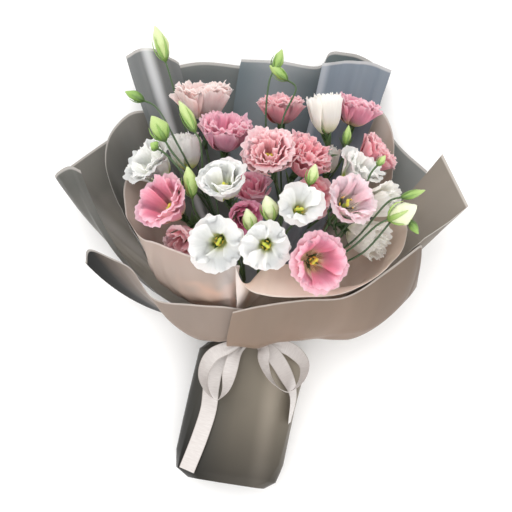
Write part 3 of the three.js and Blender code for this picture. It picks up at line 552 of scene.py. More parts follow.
CURVES = {  # control points of a petal's line, as shares of the bloom's radius and height
    "saucer": ((0.75, 0.02), (0.84, 0.6), (1.0, 0.78)),
    "cone": ((0.5, 0.04), (0.76, 0.5), (1.0, 0.82)),
    "inner_cone": ((0.5, 0.1), (0.66, 0.66), (0.92, 0.94)),
    "flare": ((0.62, 0.05), (0.54, 1.02), (1.0, 0.86)),
    "inner_flare": ((0.52, 0.08), (0.48, 0.98), (0.84, 0.95)),
    "bowl": ((0.8, 0.05), (0.66, 0.9), (0.96, 0.92)),
    "inner_bowl": ((0.66, 0.08), (0.54, 0.86), (0.8, 0.98)),
    "trumpet": ((0.44, 0.1), (0.26, 1.12), (1.0, 0.9)),
    "inner_trumpet": ((0.38, 0.14), (0.28, 1.08), (0.92, 0.96)),
    "heart": ((0.56, 0.12), (0.36, 0.8), (0.62, 1.0)),
    "inner_heart": ((0.42, 0.2), (0.3, 0.8), (0.4, 0.98)),
    "goblet": ((0.95, 0.1), (0.7, 0.72), (0.98, 0.98)),
    "furled": ((0.7, 0.2), (0.3, 0.7), (0.52, 1.02)),
    "inner_furled": ((0.5, 0.2), (0.2, 0.7), (0.28, 1.0)),
}
# Each form: its whorls from the outside in, as (curve, petals, lag in degrees, slow wave, ruffle, fringe).
FORMS = {
    "single": (("trumpet", 3, 0, 2.6, 1.7, 0.02), ("inner_trumpet", 3, 60, 2.6, 1.7, 0.02)),
    "cup": (("flare", 5, 0, 2.4, 1.6, 0.02), ("inner_flare", 5, 36, 2.8, 1.6, 0.03)),
    "full_cup": (
        ("flare", 5, 0, 3.0, 1.6, 0.02), ("inner_flare", 5, 36, 3.0, 1.5, 0.02),
        ("heart", 4, 20, 3.0, 1.2, 0.02)),
    "rose_cup": (
        ("flare", 5, 0, 2.4, 1.3, 0.01), ("bowl", 4, 36, 2.2, 1.2, 0.01),
        ("inner_bowl", 4, 15, 2.0, 1.0, 0.01), ("heart", 3, 50, 1.6, 0.8, 0.01)),
    "small_cup": (
        ("flare", 4, 0, 2.0, 1.4, 0.02), ("inner_bowl", 4, 40, 2.0, 1.4, 0.03),
        ("inner_heart", 3, 20, 2.0, 1.2, 0.03)),
    "double": (
        ("saucer", 5, 0, 2.4, 2.0, 0.03), ("flare", 5, 36, 2.6, 2.1, 0.035),
        ("inner_bowl", 5, 10, 2.8, 2.1, 0.035), ("heart", 5, 40, 2.6, 1.9, 0.035),
        ("inner_heart", 4, 15, 2.2, 1.5, 0.03)),
    "side_double": (
        ("cone", 5, 0, 2.4, 1.9, 0.035), ("inner_cone", 5, 36, 2.6, 2.1, 0.04),
        ("bowl", 5, 12, 2.8, 2.2, 0.04), ("inner_bowl", 4, 40, 2.8, 2.0, 0.04),
        ("heart", 4, 15, 2.4, 1.6, 0.03)),
    "half_open": (
        ("goblet", 4, 0, 2.4, 2.0, 0.05), ("furled", 3, 45, 2.6, 2.0, 0.05),
        ("inner_furled", 3, 80, 1.8, 1.2, 0.05)),
}


def petal(curve, middle, count, radius, height, core, wave, ruffle, fringe, dice):
    """One petal's surface round a bloom's axis, before the bloom is put in its place."""
    line = np.array([(core, 1)] + [(r * radius, z * height) for r, z in CURVES[curve]])
    line[1:] *= (dice.uniform(0.94, 1.03), dice.uniform(0.94, 1.02))
    sector = math.pi / count
    widths = (0.5, 1.12, 1.24) if count > 4 else (0.5, 0.95, 1.14)
    slow, quick, teeth = (
        [(dice.uniform(slowest, fastest), dice.uniform(0, 6.3), share) for slowest, fastest, share in sets]
        for sets in WAVES)
    wide = dice.uniform(0.96, 1.06)

    def waved(side, waves):
        return sum(share * np.sin(rate * side + start) for rate, start, share in waves)

    def surface(u, v):
        side = 2 * u - 1
        reach = v * (1 - 0.12 * np.abs(side) ** 3 * v) + fringe * v ** 8 * waved(side, teeth)
        reach = np.minimum(reach, 1.03)[:, None]
        left = 1 - reach
        point = (
            left ** 3 * line[0] + 3 * left ** 2 * reach * line[1] + 3 * left * reach ** 2 * line[2]
            + reach ** 3 * line[3])
        run = unit(
            3 * left ** 2 * (line[1] - line[0]) + 6 * left * reach * (line[2] - line[1])
            + 3 * reach ** 2 * (line[3] - line[2]))
        off = side * PASS * np.minimum(1, 2 * v)
        off += wave * v ** 2.6 * waved(side, slow) + ruffle * v ** 5 * waved(side, quick)
        span = np.interp(v, (0, 0.5, 0.85, 1), (widths[0], widths[1], widths[2], widths[2] * 0.95)) * wide
        turn = middle + side * sector * span
        r = point[:, 0] + run[:, 1] * off
        return np.stack([r * np.cos(turn), r * np.sin(turn), point[:, 1] - run[:, 0] * off], -1)

    return surface


# Petals in each colour: rim, body, towards the throat, throat, and the colour and strength of the streaks
# that run out of the throat. Where the rim is lighter than the body, that is partly the petal's own paler
# edge and partly a painted highlight.
COLOURS = {
    "white": ("#FFFFFC", "#FEFEF9", "#F1F5D3", "#C3D55A", "#D3DF94", 0.3),
    "cream": ("#FFFDF6", "#FFFAEE", "#FAF6DE", "#DFE5AE", "#ECEBC8", 0.2),
    "salmon": ("#FFE6E1", "#FFD3CC", "#FBBEB4", "#E8CBA8", "#E9A59C", 0.3),
    "light_pink": ("#FFD9E3", "#FFC9D6", "#FCE3D8", "#F6ECCF", "#341828", 2.5),
    "rose": ("#FFCFD2", "#FDB0B8", "#F595A1", "#D98F70", "#CB5F78", 0.35),
    "pink": ("#FAAEC1", "#EF829C", "#F29AA4", "#F2CB90", "#A8284F", 1.0),
    "lilac_pink": ("#F9B2C6", "#F48EAA", "#E67896", "#D28F9A", "#C05F86", 0.35),
    "coral": ("#FFBAC2", "#FB909E", "#F07C8B", "#E2A48E", "#CE5A6E", 0.35),
    "deep_pink": ("#F08FB2", "#E66B98", "#CF4E80", "#BC6480", "#93305E", 0.5),
}
petal_skins = {}
for colour, (rim, body, towards, throat, streak, strength) in COLOURS.items():
    petal_skins[colour], add = new_material(f"lisianthus_petal_{colour}")
    # a thin living petal: soft and matte, a little light passes through it, fine veins fan out to the rim,
    # and the lighter rim is partly its own paler edge and partly a painted highlight
    flat = add("UVMap", {}, uv_map="UVMap")
    along = add("SeparateXYZ", {0: flat})
    shade = add("Attribute", {}, attribute_name="shade")
    drawn = add("Mapping", {
        "Vector": flat, "Scale": (PETAL_SIZE[0] / VEIN_SIZE[0], PETAL_SIZE[1] / VEIN_SIZE[1], 1)})
    offset = add("CombineXYZ", {2: shade.outputs["Fac"]})
    moved = add("VectorMath", (drawn, offset), operation="ADD")
    veins = add("TexNoise", {"Vector": moved, "Scale": 1, "Detail": 3, "Roughness": 0.6})
    place = add("TexCoord", {}).outputs["Object"]
    blotch = add("TexNoise", {"Vector": place, "Scale": 1000 / BLOTCH, "Detail": 1})
    wander = add("Math", (blotch, 0.16, -0.08), operation="MULTIPLY_ADD")
    height_on = add("Math", (along.outputs["Y"], wander), operation="ADD")
    # the rim's colour is partly the petal's own and partly a painted highlight
    colours = add("ValToRGB", {0: height_on}, stops=[
        (0.22, throat), (0.36, towards), (0.52, body), (0.8, body), (1, rim)])
    near = add("MapRange", (height_on, 0.46, 0.2, 0, strength))
    vein_lines = add("MapRange", (veins, 0.54, 0.6))
    drawn_out = add("Math", (near, vein_lines), operation="MULTIPLY")
    streaked = add("Mix", {0: drawn_out, 6: colours, 7: linear(streak)}, data_type="RGBA")
    lightness = add("MapRange", (veins, 0.3, 0.7, 0.95, 1.03))
    tinted = add("Math", (shade.outputs["Fac"], 0.12, 0.94), operation="MULTIPLY_ADD")
    value = add("Math", (lightness, tinted), operation="MULTIPLY")
    toned = add("HueSaturation", {"Value": value, "Color": streaked.outputs[2]})
    bump = add("Bump", {"Strength": 0.3, "Distance": 0.0004, "Height": veins})
    finish_material(add, {
        "Base Color": toned, "Roughness": 0.6, "Normal": bump, "Specular IOR Level": 0.3,
        "Subsurface Weight": 0.8, "Subsurface Radius": (1.0, 0.92, 0.88), "Subsurface Scale": 0.005,
        "Sheen Weight": 0.12, "Sheen Roughness": 0.5})


def set_on(base, axis, surface, turn=0.0):
    """The surface with its own +Z turned to the axis, standing on the base."""
    side, other = across_axis(axis)
    turned = np.stack([
        math.cos(turn) * side + math.sin(turn) * other, math.cos(turn) * other - math.sin(turn) * side,
        axis])
    return lambda u, v: base + surface(u, v) @ turned


for order, (name, bloom) in enumerate(blooms.items()):
    dice = random.Random(100 + order)
    petals = []
    size = bloom["width"] / COMMON_WIDTH
    for layer, (curve, petal_count, lag, wave, ruffle, fringe) in enumerate(FORMS[bloom["form"]]):
        core = max(CORE[0] - CORE[1] * layer, CORE[2])
        for k in range(petal_count):
            middle = bloom["turn"] + math.radians(lag) + 2 * math.pi / petal_count * k
            middle += dice.uniform(-0.12, 0.12)
            made = petal(
                curve, middle, petal_count, bloom["width"] / 2, bloom["height"], core, wave * size,
                ruffle * size, fringe, dice)
            petals.append(set_on(bloom["base"], bloom["axis"], made))
    flower = grids("petals_" + name, petals, *PETAL_GRID)
    count = len(flower.data.vertices) // len(petals)
    mark(flower, "shade", np.repeat([dice.random() for _ in petals], count))
    applied(flower, "SOLIDIFY", thickness=PETAL_THICKNESS / 1000, offset=0)
    flower.data.materials.append(petal_skins[bloom["colour"]])
    bpy.ops.object.shade_smooth_by_angle(angle=SHARP)
    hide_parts("bloom_" + name)
    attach(flower, "root")

# Centres
# The ovary stands in the throat, with a stigma of two broad velvety lobes on a short style, and five
# stamens with yellow anthers lean out round it.
CENTRES = (
    "rose_middle", "pink_left", "white_upper", "white_front", "white_low", "white_middle", "pink_low_right",
    "light_right")
THROAT_FLOORS = {"single": 2.4, "cup": 6}  # how high the floor of the throat is on the bloom's axis
OTHER_FLOOR = 3.2
FILAMENT = (0.4, 4.4, 0.5)  # tone, how far it leans out, and radius
DARK_FILAMENT = (1.3, 8.5, 0.75)
CENTRE_GRID = (12, 10)
POLLEN_CLUMP = 0.3  # single grains are ten times finer and wouldn't show


def lump(middle, reach, half_widths, outward):
    """A rounded oblong body on its own axis."""
    outward = unit(np.array(outward, float))
    side, other = across_axis(outward)

    def surface(u, v):
        turn, pole = 2 * np.pi * u, np.pi * v
        rounded = np.sin(pole)[:, None] * (
            half_widths[0] * np.cos(turn)[:, None] * side + half_widths[1] * np.sin(turn)[:, None] * other)
        return np.array(middle) - reach * np.cos(pole)[:, None] * outward + rounded

    return surface


pollen, add = new_material("pollen_and_stigma")
# velvety stigma lobes and powdery anthers over a smooth green ovary; the tone runs from green to yellow
tone = add("Attribute", {}, attribute_name="ripe")
place = add("TexCoord", {}).outputs["Object"]
grains = add("TexNoise", {"Vector": place, "Scale": 1000 / POLLEN_CLUMP, "Detail": 2})
grain_tone = add("Math", (grains, 0.2, -0.1), operation="MULTIPLY_ADD")
tone_here = add("Math", (tone.outputs["Fac"], grain_tone), operation="ADD")
yellow = add("ValToRGB", {0: tone_here}, stops=[
    (0, "#6C8F2C"), (0.35, "#9DB53A"), (0.6, "#C9CB45"), (0.86, "#DFC243"), (0.95, "#B98B2E"),
    (1, "#2E1C22")])
bump = add("Bump", {"Strength": 0.5, "Distance": 0.0003, "Height": grains})
finish_material(add, {
    "Base Color": yellow, "Roughness": 0.75, "Normal": bump, "Sheen Weight": 0.3})

for name in CENTRES:
    bloom = blooms[name]
    floor = THROAT_FLOORS.get(bloom["form"], OTHER_FLOOR)
    style = through([(0, 0, floor + 7), (0, 0, floor + 10), (0, 0, floor + 12.5)])
    bodies = [  # ovary, style and the stigma's two lobes, each with its tone
        (lump((0, 0, floor + 4), 5, (3.0, 3.0), (0, 0, 1)), 0.1),
        (tube(style, lambda v: 0 * v + 0.9), 0.3),
        (lump((2.1, 0, floor + 13), 3.1, (2.0, 2.7), (1, 0, 0.45)), 0.6),
        (lump((-2.1, 0, floor + 13), 3.1, (2.0, 2.7), (-1, 0, 0.45)), 0.52)]
    # the light pink bloom has long filaments of a purple black
    tone_there, lean, thickness = DARK_FILAMENT if name == "light_right" else FILAMENT
    for k in range(5):
        turn = math.radians(36 + 72 * k)
        out = np.array([math.cos(turn), math.sin(turn), 0])
        foot, head = 1.6 * out + (0, 0, floor), lean * out + (0, 0, floor + 9.5)
        filament = tube(through([foot, (foot + head) / 2 + 0.8 * out, head]), lambda v: 0 * v + thickness)
        anther = lump(head + (0, 0, 0.6), 2.1, (0.8, 0.8), (out[1] * 0.8, -out[0] * 0.8, 0.5))
        bodies += [(filament, tone_there), (anther, 0.88)]
    placed = [set_on(bloom["base"], bloom["axis"], surface, bloom["turn"]) for surface, _ in bodies]
    centre = grids("stigma_" + name, placed, *CENTRE_GRID)
    count = len(centre.data.vertices) // len(bodies)
    mark(centre, "ripe", np.repeat([value for _, value in bodies], count))
    closed(centre)
    centre.data.materials.append(pollen)
    bpy.ops.object.shade_smooth()
    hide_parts("centre_" + name)
    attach(centre, "root")

# Tissue and film
# Two sheets of thin peach tissue stand round the blooms inside ten sheets of frosted film. Each is cut
# square, gathered at the waist in pleats and folded out over the tie, and keeps soft folds and creases.
NECK_FOOT = -92
INNER_LAYER = 17.5
LAYER_PITCH = 1.3
FOLD_STEP = 2.6
RESTING = 0.39  # least height over the table
FURTHEST = 293.8  # no sheet reaches beyond this y
NECK_SHARE = 0.08  # of a sheet's length, gathered under the tie
FILM_THICKNESS = 0.3
SHEET_GRID = (64, 48)
PLEATS = 9
PLEAT_DEPTH = 3.0
TISSUE_CREASES = (22, 1.7)  # how many, and how sharp
FILM_CREASES = (7, 0.8)
PEACH_SPOT = (-0.02, -0.075, 0.13)  # in metres: warm light comes through the tissue round it
PEACH_REACH = (0.135, 0.085)  # how far from it the light ends, and how far it is full
SHEET_SIZE = (280, 300)  # of a middling sheet, across and along
# the bands are painted light and shade, as over soft folds
BAND_SIZE = (40, 250)  # faint bands of light and dark that run up from the waist
CLOUD = 111  # soft patches in the tones
TEAR = 33.3  # uneven patches in the warm light
FROST = 1.11  # the real frosting is ten times finer and wouldn't show
CRINKLE = 16.7
# Each sheet: its layer at the waist, its colours from the waist to the free edge, which are its own tint
# with painted light and shade in them, how light it is from its first side to its last, which is painted
# light and shade, its glare as (place across it, half width, strength), whether its corners stay sharp, and
# its ribs from
# one side to the other: (angle round the waist, rise off it before it bends, middle control point, point on
# the free edge).
SHEETS = {
    "tissue_left": (0, ("#88766C", "#9C887C", "#A5968D"), (0.85, 0.94, 1.1), (0.93, 0.1, 0.25), False, (
        (-128, 2, (-75, 20, 44), (-150, 106, 76)), (-108, 4, (-88, 5, 60), (-168, 62, 92)),
        (-90, 8, (-92, -22, 76), (-158, 22, 112)), (-76, 12, (-104, -62, 86), (-134, -9, 132)),
        (-64, 16, (-102, -98, 96), (-110, -16, 146)), (-50, 22, (-64, -108, 104), (-73, -26, 156)),
        (-38, 26, (-34, -100, 110), (-43, -31, 160)), (-31, 26, (-16, -90, 110), (-16, -30, 162)))),
    "tissue_right": (1, ("#E8D3C4", "#D6BFAD", "#D2BCAE"), (1.06, 0.96, 1.0), (0.02, 0.07, 0.4), False, (
        (-34, 31, (-11, -105, 122), (-19, -32, 169)), (-13, 40, (8, -2, 141), (-1, -55, 168)),
        (6, 46, (24, 46, 146), (20, -58, 165)), (28, 42, (50, 40, 142), (59, -53, 161)),
        (54, 22, (96, -8, 108), (107, -39, 152)), (78, 9, (118, -36, 70), (157, 5, 134)),
        (96, 5, (112, -10, 54), (170, 50, 102)), (112, 3, (98, 18, 42), (158, 104, 78)))),
    "film_back_left": (2, ("#5E5E56", "#5C5F5A", "#595D5F"), (1.1, 0.9, 1.0), (0.45, 0.16, 0.5), False, (
        (-122, 3, (-124, 62, 46), (-204, 236, 34)), (-134, 3, (-112, 84, 44), (-186, 243, 52)),
        (-146, 3, (-94, 92, 30), (-162, 247, 46)), (-158, 3, (-70, 92, 18), (-138, 243, 22)))),
    "film_back_right": (2, ("#6E6A65", "#787D84", "#66717D"), (1.05, 0.95, 0.9), (0.04, 0.1, 0.25), False, (
        (170, 3, (34, 90, 16), (46, 270, 30)), (158, 3, (58, 92, 28), (76, 275, 40)),
        (146, 3, (82, 88, 36), (106, 275, 46)), (134, 3, (100, 76, 46), (134, 270, 44)))),
    "film_side_left": (3, ("#A89C90", "#827D76", "#585855"), (0.85, 1, 1.2), (0, 0.1, 0), False, (
        (-146, 3, (-106, 50, 8), (-160, 174, 26)), (-130, 3, (-122, 38, 16), (-186, 160, 40)),
        (-116, 4, (-130, 20, 28), (-203, 126, 52)), (-104, 4, (-130, 0, 42), (-202, 92, 66)),
        (-92, 6, (-122, -24, 54), (-188, 60, 82)), (-80, 8, (-110, -48, 68), (-160, 16, 98)),
        (-68, 11, (-104, -84, 82), (-131, -17, 114)))),
    "film_side_right": (3, ("#8A7F75", "#8F857B", "#958A80"), (1, 1, 1.05), (0.4, 0.2, 0.1), False, (
        (150, 2, (88, 74, 12), (112, 214, 28)), (138, 3, (104, 66, 16), (128, 218, 33)),
        (126, 3, (114, 54, 24), (142, 198, 42)), (114, 3, (116, 38, 32), (150, 156, 56)),
        (102, 4, (112, 20, 42), (150, 122, 70)))),
    "film_wing_left": (4, ("#A09282", "#8E8982", "#4A4B48"), (0.8, 1, 1.1), (0.42, 0.1, 0.12), False, (
        (-146, 2, (-120, 36, 0), (-185, 148, 26)), (-130, 3, (-142, 22, 4), (-214, 116, 36)),
        (-114, 4, (-158, 0, 16), (-244, 76, 56)), (-100, 4, (-165, -40, 34), (-253, 54, 80)),
        (-90, 6, (-160, -64, 56), (-250, 56, 96)), (-78, 9, (-146, -92, 78), (-236, 66, 100)),
        (-62, 14, (-116, -124, 100), (-222, 64, 98)))),
    "film_wing_right": (4, ("#E0CDB9", "#8E8273", "#665F56"), (0.9, 1, 1.05), (0, 0.1, 0), True, (
        (118, 3, (130, 30, 30), (205, 158, 84)), (96, 5, (156, -14, 48), (240, 94, 102)),
        (78, 9, (150, -52, 68), (192, 44, 116)), (60, 13, (124, -83, 81), (152, 0, 120)),
        (42, 17, (86, -106, 90), (104, -43, 137)))),
    "film_back_centre": (4, ("#666865", "#5C6366", "#414E54"), (1.3, 0.66, 0.34), (0.16, 0.2, 0.16), False, (
        (206, 0, (-68, 100, -2), (-59, 264, 15)), (190, 0, (-20, 100, -4), (-10, 270, 15)),
        (174, 0, (30, 100, -4), (45, 273, 15)), (165, 0, (50, 100, -3), (54, 291, 18)),
        (154, 0, (74, 98, -2), (84, 294, 20)), (144, 0, (98, 90, 2), (112, 286, 18)),
        (134, 1, (112, 76, 8), (133, 270, 18)))),
    "film_back": (5, ("#6A6863", "#62655F", "#565C5D"), (1, 1, 1), (0, 0.1, 0), False, (
        (218, 2, (-112, 54, -10), (-156, 236, 12)), (206, 2, (-82, 78, -24), (-112, 254, 8)),
        (194, 2, (-48, 90, -28), (-58, 258, 7)), (178, 2, (4, 92, -28), (4, 258, 7)),
        (162, 2, (56, 84, -28), (70, 250, 7)), (146, 3, (98, 62, -18), (128, 216, 12)),
        (130, 4, (132, 34, 0), (160, 178, 24)), (114, 4, (152, 4, 14), (196, 146, 42)))),
    "film_front_left": (5, ("#88776C", "#8E7D72", "#877A71"), (-0.4, 1, 1.02), (0, 0.1, 0), False, (
        (-100, 5, (-105, -112, 46), (-199, -42, 78)), (-84, 7, (-98, -118, 56), (-196, -28, 94)),
        (-70, 10, (-88, -124, 68), (-165, -36, 104)), (-56, 12, (-74, -136, 78), (-140, -46, 116)),
        (-40, 15, (-54, -144, 84), (-110, -76, 122)), (-22, 15.6, (-28, -154, 84), (-63, -76, 124)),
        (-4, 15.6, (-2, -146, 84), (-25, -73, 130)), (12, 15.6, (14, -138, 88), (3, -72, 133)))),
    "film_front_right": (6, ("#8A7163", "#897263", "#7C6C5F"), (1.03, 1, 0.45), (0, 0.1, 0), False, (
        (-24, 14, (-24, -160, 88), (-16, -79, 138)), (2, 14, (12, -156, 91), (18, -66, 146)),
        (26, 12.5, (58, -134, 88), (62, -54, 150)), (46, 11, (124, -110, 80), (107, -42, 145)),
        (64, 9, (192, -116, 70), (150, -4, 133)), (80, 7, (212, -96, 62), (190, 36, 112)),
        (94, 5, (220, -64, 54), (190, 26, 90)))),
}


def rib_line(points, straight):
    """The line from rib to rib, smooth or with straight runs."""
    if not straight:
        return through(points)
    points = np.array(points, float)
    places = np.linspace(0, 1, len(points))
    return lambda share: np.stack([np.interp(share, places, column) for column in points.T], -1)


def smooth_sheet(layer, straight, ribs):
    """The sheet with no pleats or creases in it."""
    radius, top = INNER_LAYER + layer * LAYER_PITCH, FIRST_FOLD - layer * FOLD_STEP
    at_waist = rib_line([(angle, rise) for angle, rise, _, _ in ribs], straight)
    at_middle = rib_line([middle for _, _, middle, _ in ribs], straight)
    at_edge = rib_line([edge for _, _, _, edge in ribs], straight)

    def surface(u, v):
        angle, rise = at_waist(u).T
        t = np.clip((v - NECK_SHARE) / (1 - NECK_SHARE), 0, 1)[:, None]
        held = waist_point(angle, radius, top)
        held = held * (1 - t) ** 3 + waist_point(angle, radius + rise, top) * 3 * t * (1 - t) ** 2
        point = held + at_middle(u) * 3 * t ** 2 * (1 - t) + at_edge(u) * t ** 3
        point[:, 1] -= (top - NECK_FOOT) * np.clip(1 - v / NECK_SHARE, 0, 1)
        return point

    return surface


def folded_sheet(surface, seed, depth, creases, sharp):
    """The sheet with pleats that fan out from the waist and a few straight creases across it."""
    dice = random.Random(seed)
    pleats = [
        (dice.random(), dice.uniform(0.035, 0.09), dice.uniform(-0.12, 0.12), dice.uniform(-1, 1))
        for _ in range(PLEATS)]
    lines = [
        (dice.random(), dice.uniform(0.25, 0.95), dice.uniform(0, math.pi), dice.uniform(0.03, 0.07),
         dice.uniform(-1, 1)) for _ in range(creases)]

    def folded(u, v):
        step = 0.004
        across = surface(np.minimum(u + step, 1), v) - surface(np.maximum(u - step, 0), v)
        along = surface(u, np.minimum(v + step, 1)) - surface(u, np.maximum(v - step, 0))
        normal = np.cross(across, along)
        normal /= np.maximum(np.linalg.norm(normal, axis=1, keepdims=True), 1e-9)
        off = 0 * u
        for start, width, drift, height in pleats:
            away_from = np.abs(u - start - drift * v) / width
            off += height * np.exp(-away_from ** 1.4) * np.sin(np.pi * np.clip(v, 0, 1) ** 0.7 * 0.86)
        for x, y, turn, width, height in lines:
            away_from = np.abs((u - x) * math.cos(turn) + (v - y) * math.sin(turn)) / width
            beside = np.abs((v - y) * math.cos(turn) - (u - x) * math.sin(turn)) / 0.4
            off += sharp * height * np.exp(-away_from) * np.exp(-beside ** 2)
        grown = np.clip((v - NECK_SHARE) / 0.35, 0, 1) ** 1.5
        point = surface(u, v) + (depth * off * grown)[:, None] * normal
        point[:, 1] = np.minimum(point[:, 1], FURTHEST)
        point[:, 2] = np.maximum(point[:, 2], RESTING)
        return point

    return folded


def distance_from(add, place, middle):
    """How far a place lies from the middle, to either side of it."""
    off = add("Math", (place, middle), operation="SUBTRACT")
    return add("Math", {0: off}, operation="ABSOLUTE")


def wrapping_skin(name, colours, sides, glare, tissue):
    """Frosted film or tissue, with its colours from the waist to the free edge and painted light and shade
    on it.
    """
    material, add = new_material(name)
    flat = add("UVMap", {}, uv_map="UVMap")
    spot = add("SeparateXYZ", {0: flat})
    place = add("TexCoord", {}).outputs["Object"]
    cloud = add("TexNoise", {"Vector": place, "Scale": 1000 / CLOUD, "Detail": 2})
    wander = add("Math", (cloud, 0.5, -0.25), operation="MULTIPLY_ADD")
    height_on = add("Math", (spot.outputs["Y"], wander), operation="ADD")
    # the sheet's own tints from the waist to the free edge, with painted light and shade in them
    tones = add("ValToRGB", {0: height_on}, stops=list(zip((0.1, 0.5, 0.92), colours)))
    # painted light and shade from the first side to the last
    first_half = add("MapRange", (spot, 0, 0.5, sides[0] - sides[1], 0))
    last_half = add("MapRange", (spot, 0.5, 1, sides[1], sides[2]))
    drawn = add("Mapping", {
        "Vector": flat, "Scale": (SHEET_SIZE[0] / BAND_SIZE[0], SHEET_SIZE[1] / BAND_SIZE[1], 1)})
    bands = add("TexNoise", {"Vector": drawn, "Scale": 1, "Detail": 2})
    # painted light and shade in faint bands, as over soft folds
    fold_light_and_shade = add("MapRange", (bands, 0.3, 0.7, -0.07, 0.07))
    painted_side_shade = add("Math", (first_half, last_half), operation="ADD")
    value = add("Math", (painted_side_shade, fold_light_and_shade), operation="ADD")
    toned = add("HueSaturation", {"Value": value, "Color": tones})
    from_spot = add("VectorMath", (place, PEACH_SPOT), operation="DISTANCE")
    patch = add("TexNoise", {"Vector": place, "Scale": 1000 / TEAR, "Detail": 1})
    uneven = add("Math", (patch, 0.14, from_spot.outputs["Value"]), operation="MULTIPLY_ADD")
    near = add("MapRange", (uneven, *PEACH_REACH, 0, 0.55 if tissue else 0))
    torn = add("MapRange", (patch, 0.42, 0.56))
    warm = add("Math", (near, torn), operation="MULTIPLY")
    warmed = add("Mix", {0: warm, 6: toned, 7: linear("#D9A992")}, data_type="RGBA")
    from_glare = distance_from(add, spot, glare[0])
    bright = add("MapRange", (from_glare, glare[1], 0, 0, glare[2]), interpolation_type="SMOOTHSTEP")
    lit = add("Mix", {0: bright, 6: warmed.outputs[2], 7: linear("#E4E6EA")}, data_type="RGBA")
    # a painted highlight: a thin light line along the free edge
    rim = add("MapRange", (spot.outputs["Y"], 0.992, 0.995, 0, 0.35))
    edge_highlighted = add("Mix", {0: rim, 6: lit.outputs[2], 7: linear("#E2DDD8")}, data_type="RGBA")
    frost = add("TexNoise", {"Vector": place, "Scale": 1000 / FROST, "Detail": 2})
    crinkle = add("TexNoise", {"Vector": place, "Scale": 1000 / CRINKLE, "Detail": 4})
    fine = add("Bump", {"Strength": 0.08, "Distance": 0.0004, "Height": frost})
    bump = add("Bump", {
        "Strength": 0.2 if tissue else 0.1, "Distance": 0.002, "Height": crinkle, "Normal": fine})
    finish_material(add, {
        "Base Color": edge_highlighted.outputs[2], "Roughness": 0.8 if tissue else 0.42, "Normal": bump,
        "Specular IOR Level": 0.2 if tissue else 0.3, "Subsurface Weight": 0.6,
        "Subsurface Radius": (1, 0.95, 0.9), "Subsurface Scale": 0.002})
    return material


for order, (name, (layer, colours, sides, glare, straight, ribs)) in enumerate(SHEETS.items()):
    tissue = name.startswith("tissue")
    creases, sharp = TISSUE_CREASES if tissue else FILM_CREASES
    surface = folded_sheet(smooth_sheet(layer, straight, ribs), 40 + order, PLEAT_DEPTH, creases, sharp)
    sheet = grids(name + "_sheet", [surface], *SHEET_GRID)
    applied(sheet, "SOLIDIFY", thickness=FILM_THICKNESS / 1000, offset=0)
    # tissue is matte and soft; frosted film has a satin gloss and a milky grain
    kind = "peach_tissue_" if tissue else "frosted_film_"
    skin = wrapping_skin(kind + name, colours, sides, glare, tissue)
    sheet.data.materials.append(skin)
    bpy.ops.object.shade_smooth_by_angle(angle=SHARP)
    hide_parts(name)
    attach(sheet, "root")

# Sleeve
# The same frosted film below the waist, wrapped round the cut ends as a flattened tube. It is gathered under
# the ribbon and open at the foot.
SLEEVE = (  # (y, middle x, half width, half height, middle z, roundness: 1 is an ellipse, less is squarer)
    (-95, 10, 23.9, 23.9, 42, 1), (-103, 10, 23.9, 23.9, 42, 1), (-109, 13, 54, 29, 37, 0.8),
    (-118, 15.5, 66, 32, 33.5, 0.62), (-173, 10.5, 65, 31, 31.8, 0.62), (-240, 6.5, 65, 30.4, 31, 0.62),
    (-261, 5, 61, 29.8, 30.6, 0.62), (-270, 7, 47, 28, 30.4, 0.7))
SLEEVE_LIGHT = (0.055, 9.2)  # x of the light through it, in metres, and how fast that fades to the sides
SLEEVE_FOLD = (0.05, 0.016)  # x and half width of a lit fold
SLEEVE_DARKENS = (-0.12, -0.27)  # y where it starts to darken, and where it is darkest
SLEEVE_CLOUD = 71.4
SLEEVE_GRID = (120, 70)
sleeve_rows = rib_line(SLEEVE, True)


def sleeve_surface(u, v):
    """The sleeve, with u round it and v from the tie to its foot, gathered at the top and loose below."""
    y, x, width, height, z, roundness = sleeve_rows(v).T
    turn = 2 * np.pi * u
    sine, cosine = np.sin(turn), np.cos(turn)
    loose = np.clip((v - 0.3) * 3, 0, 1) * (0.6 * np.sin(3 * turn + 4 * v) + 0.4 * np.sin(7 * turn + 9 * v))
    gathers = np.exp(-((v - 0.22) / 0.12) ** 2) * 1.1 * np.sin(22 * turn)
    shrink = 1 + (gathers - 2 * np.abs(loose)) / 60
    return np.stack([
        x + width * shrink * np.sign(sine) * np.abs(sine) ** roundness, y,
        np.maximum(z + height * shrink * np.sign(cosine) * np.abs(cosine) ** roundness, RESTING)], -1)


sleeve = closed(grids("sleeve_sheet", [sleeve_surface], *SLEEVE_GRID))
applied(sleeve, "SOLIDIFY", thickness=FILM_THICKNESS / 1000, offset=0)
sleeve_film, add = new_material("frosted_film_sleeve")
# frosted film seen through two skins, with painted shade that darkens it to the sides, painted warm light in
# the middle where the light comes through, a painted highlight along one fold, and darker towards the foot
place = add("TexCoord", {}).outputs["Object"]
spot = add("SeparateXYZ", {0: place})
from_light = distance_from(add, spot, SLEEVE_LIGHT[0])
share = add("Math", (from_light, SLEEVE_LIGHT[1]), operation="MULTIPLY")
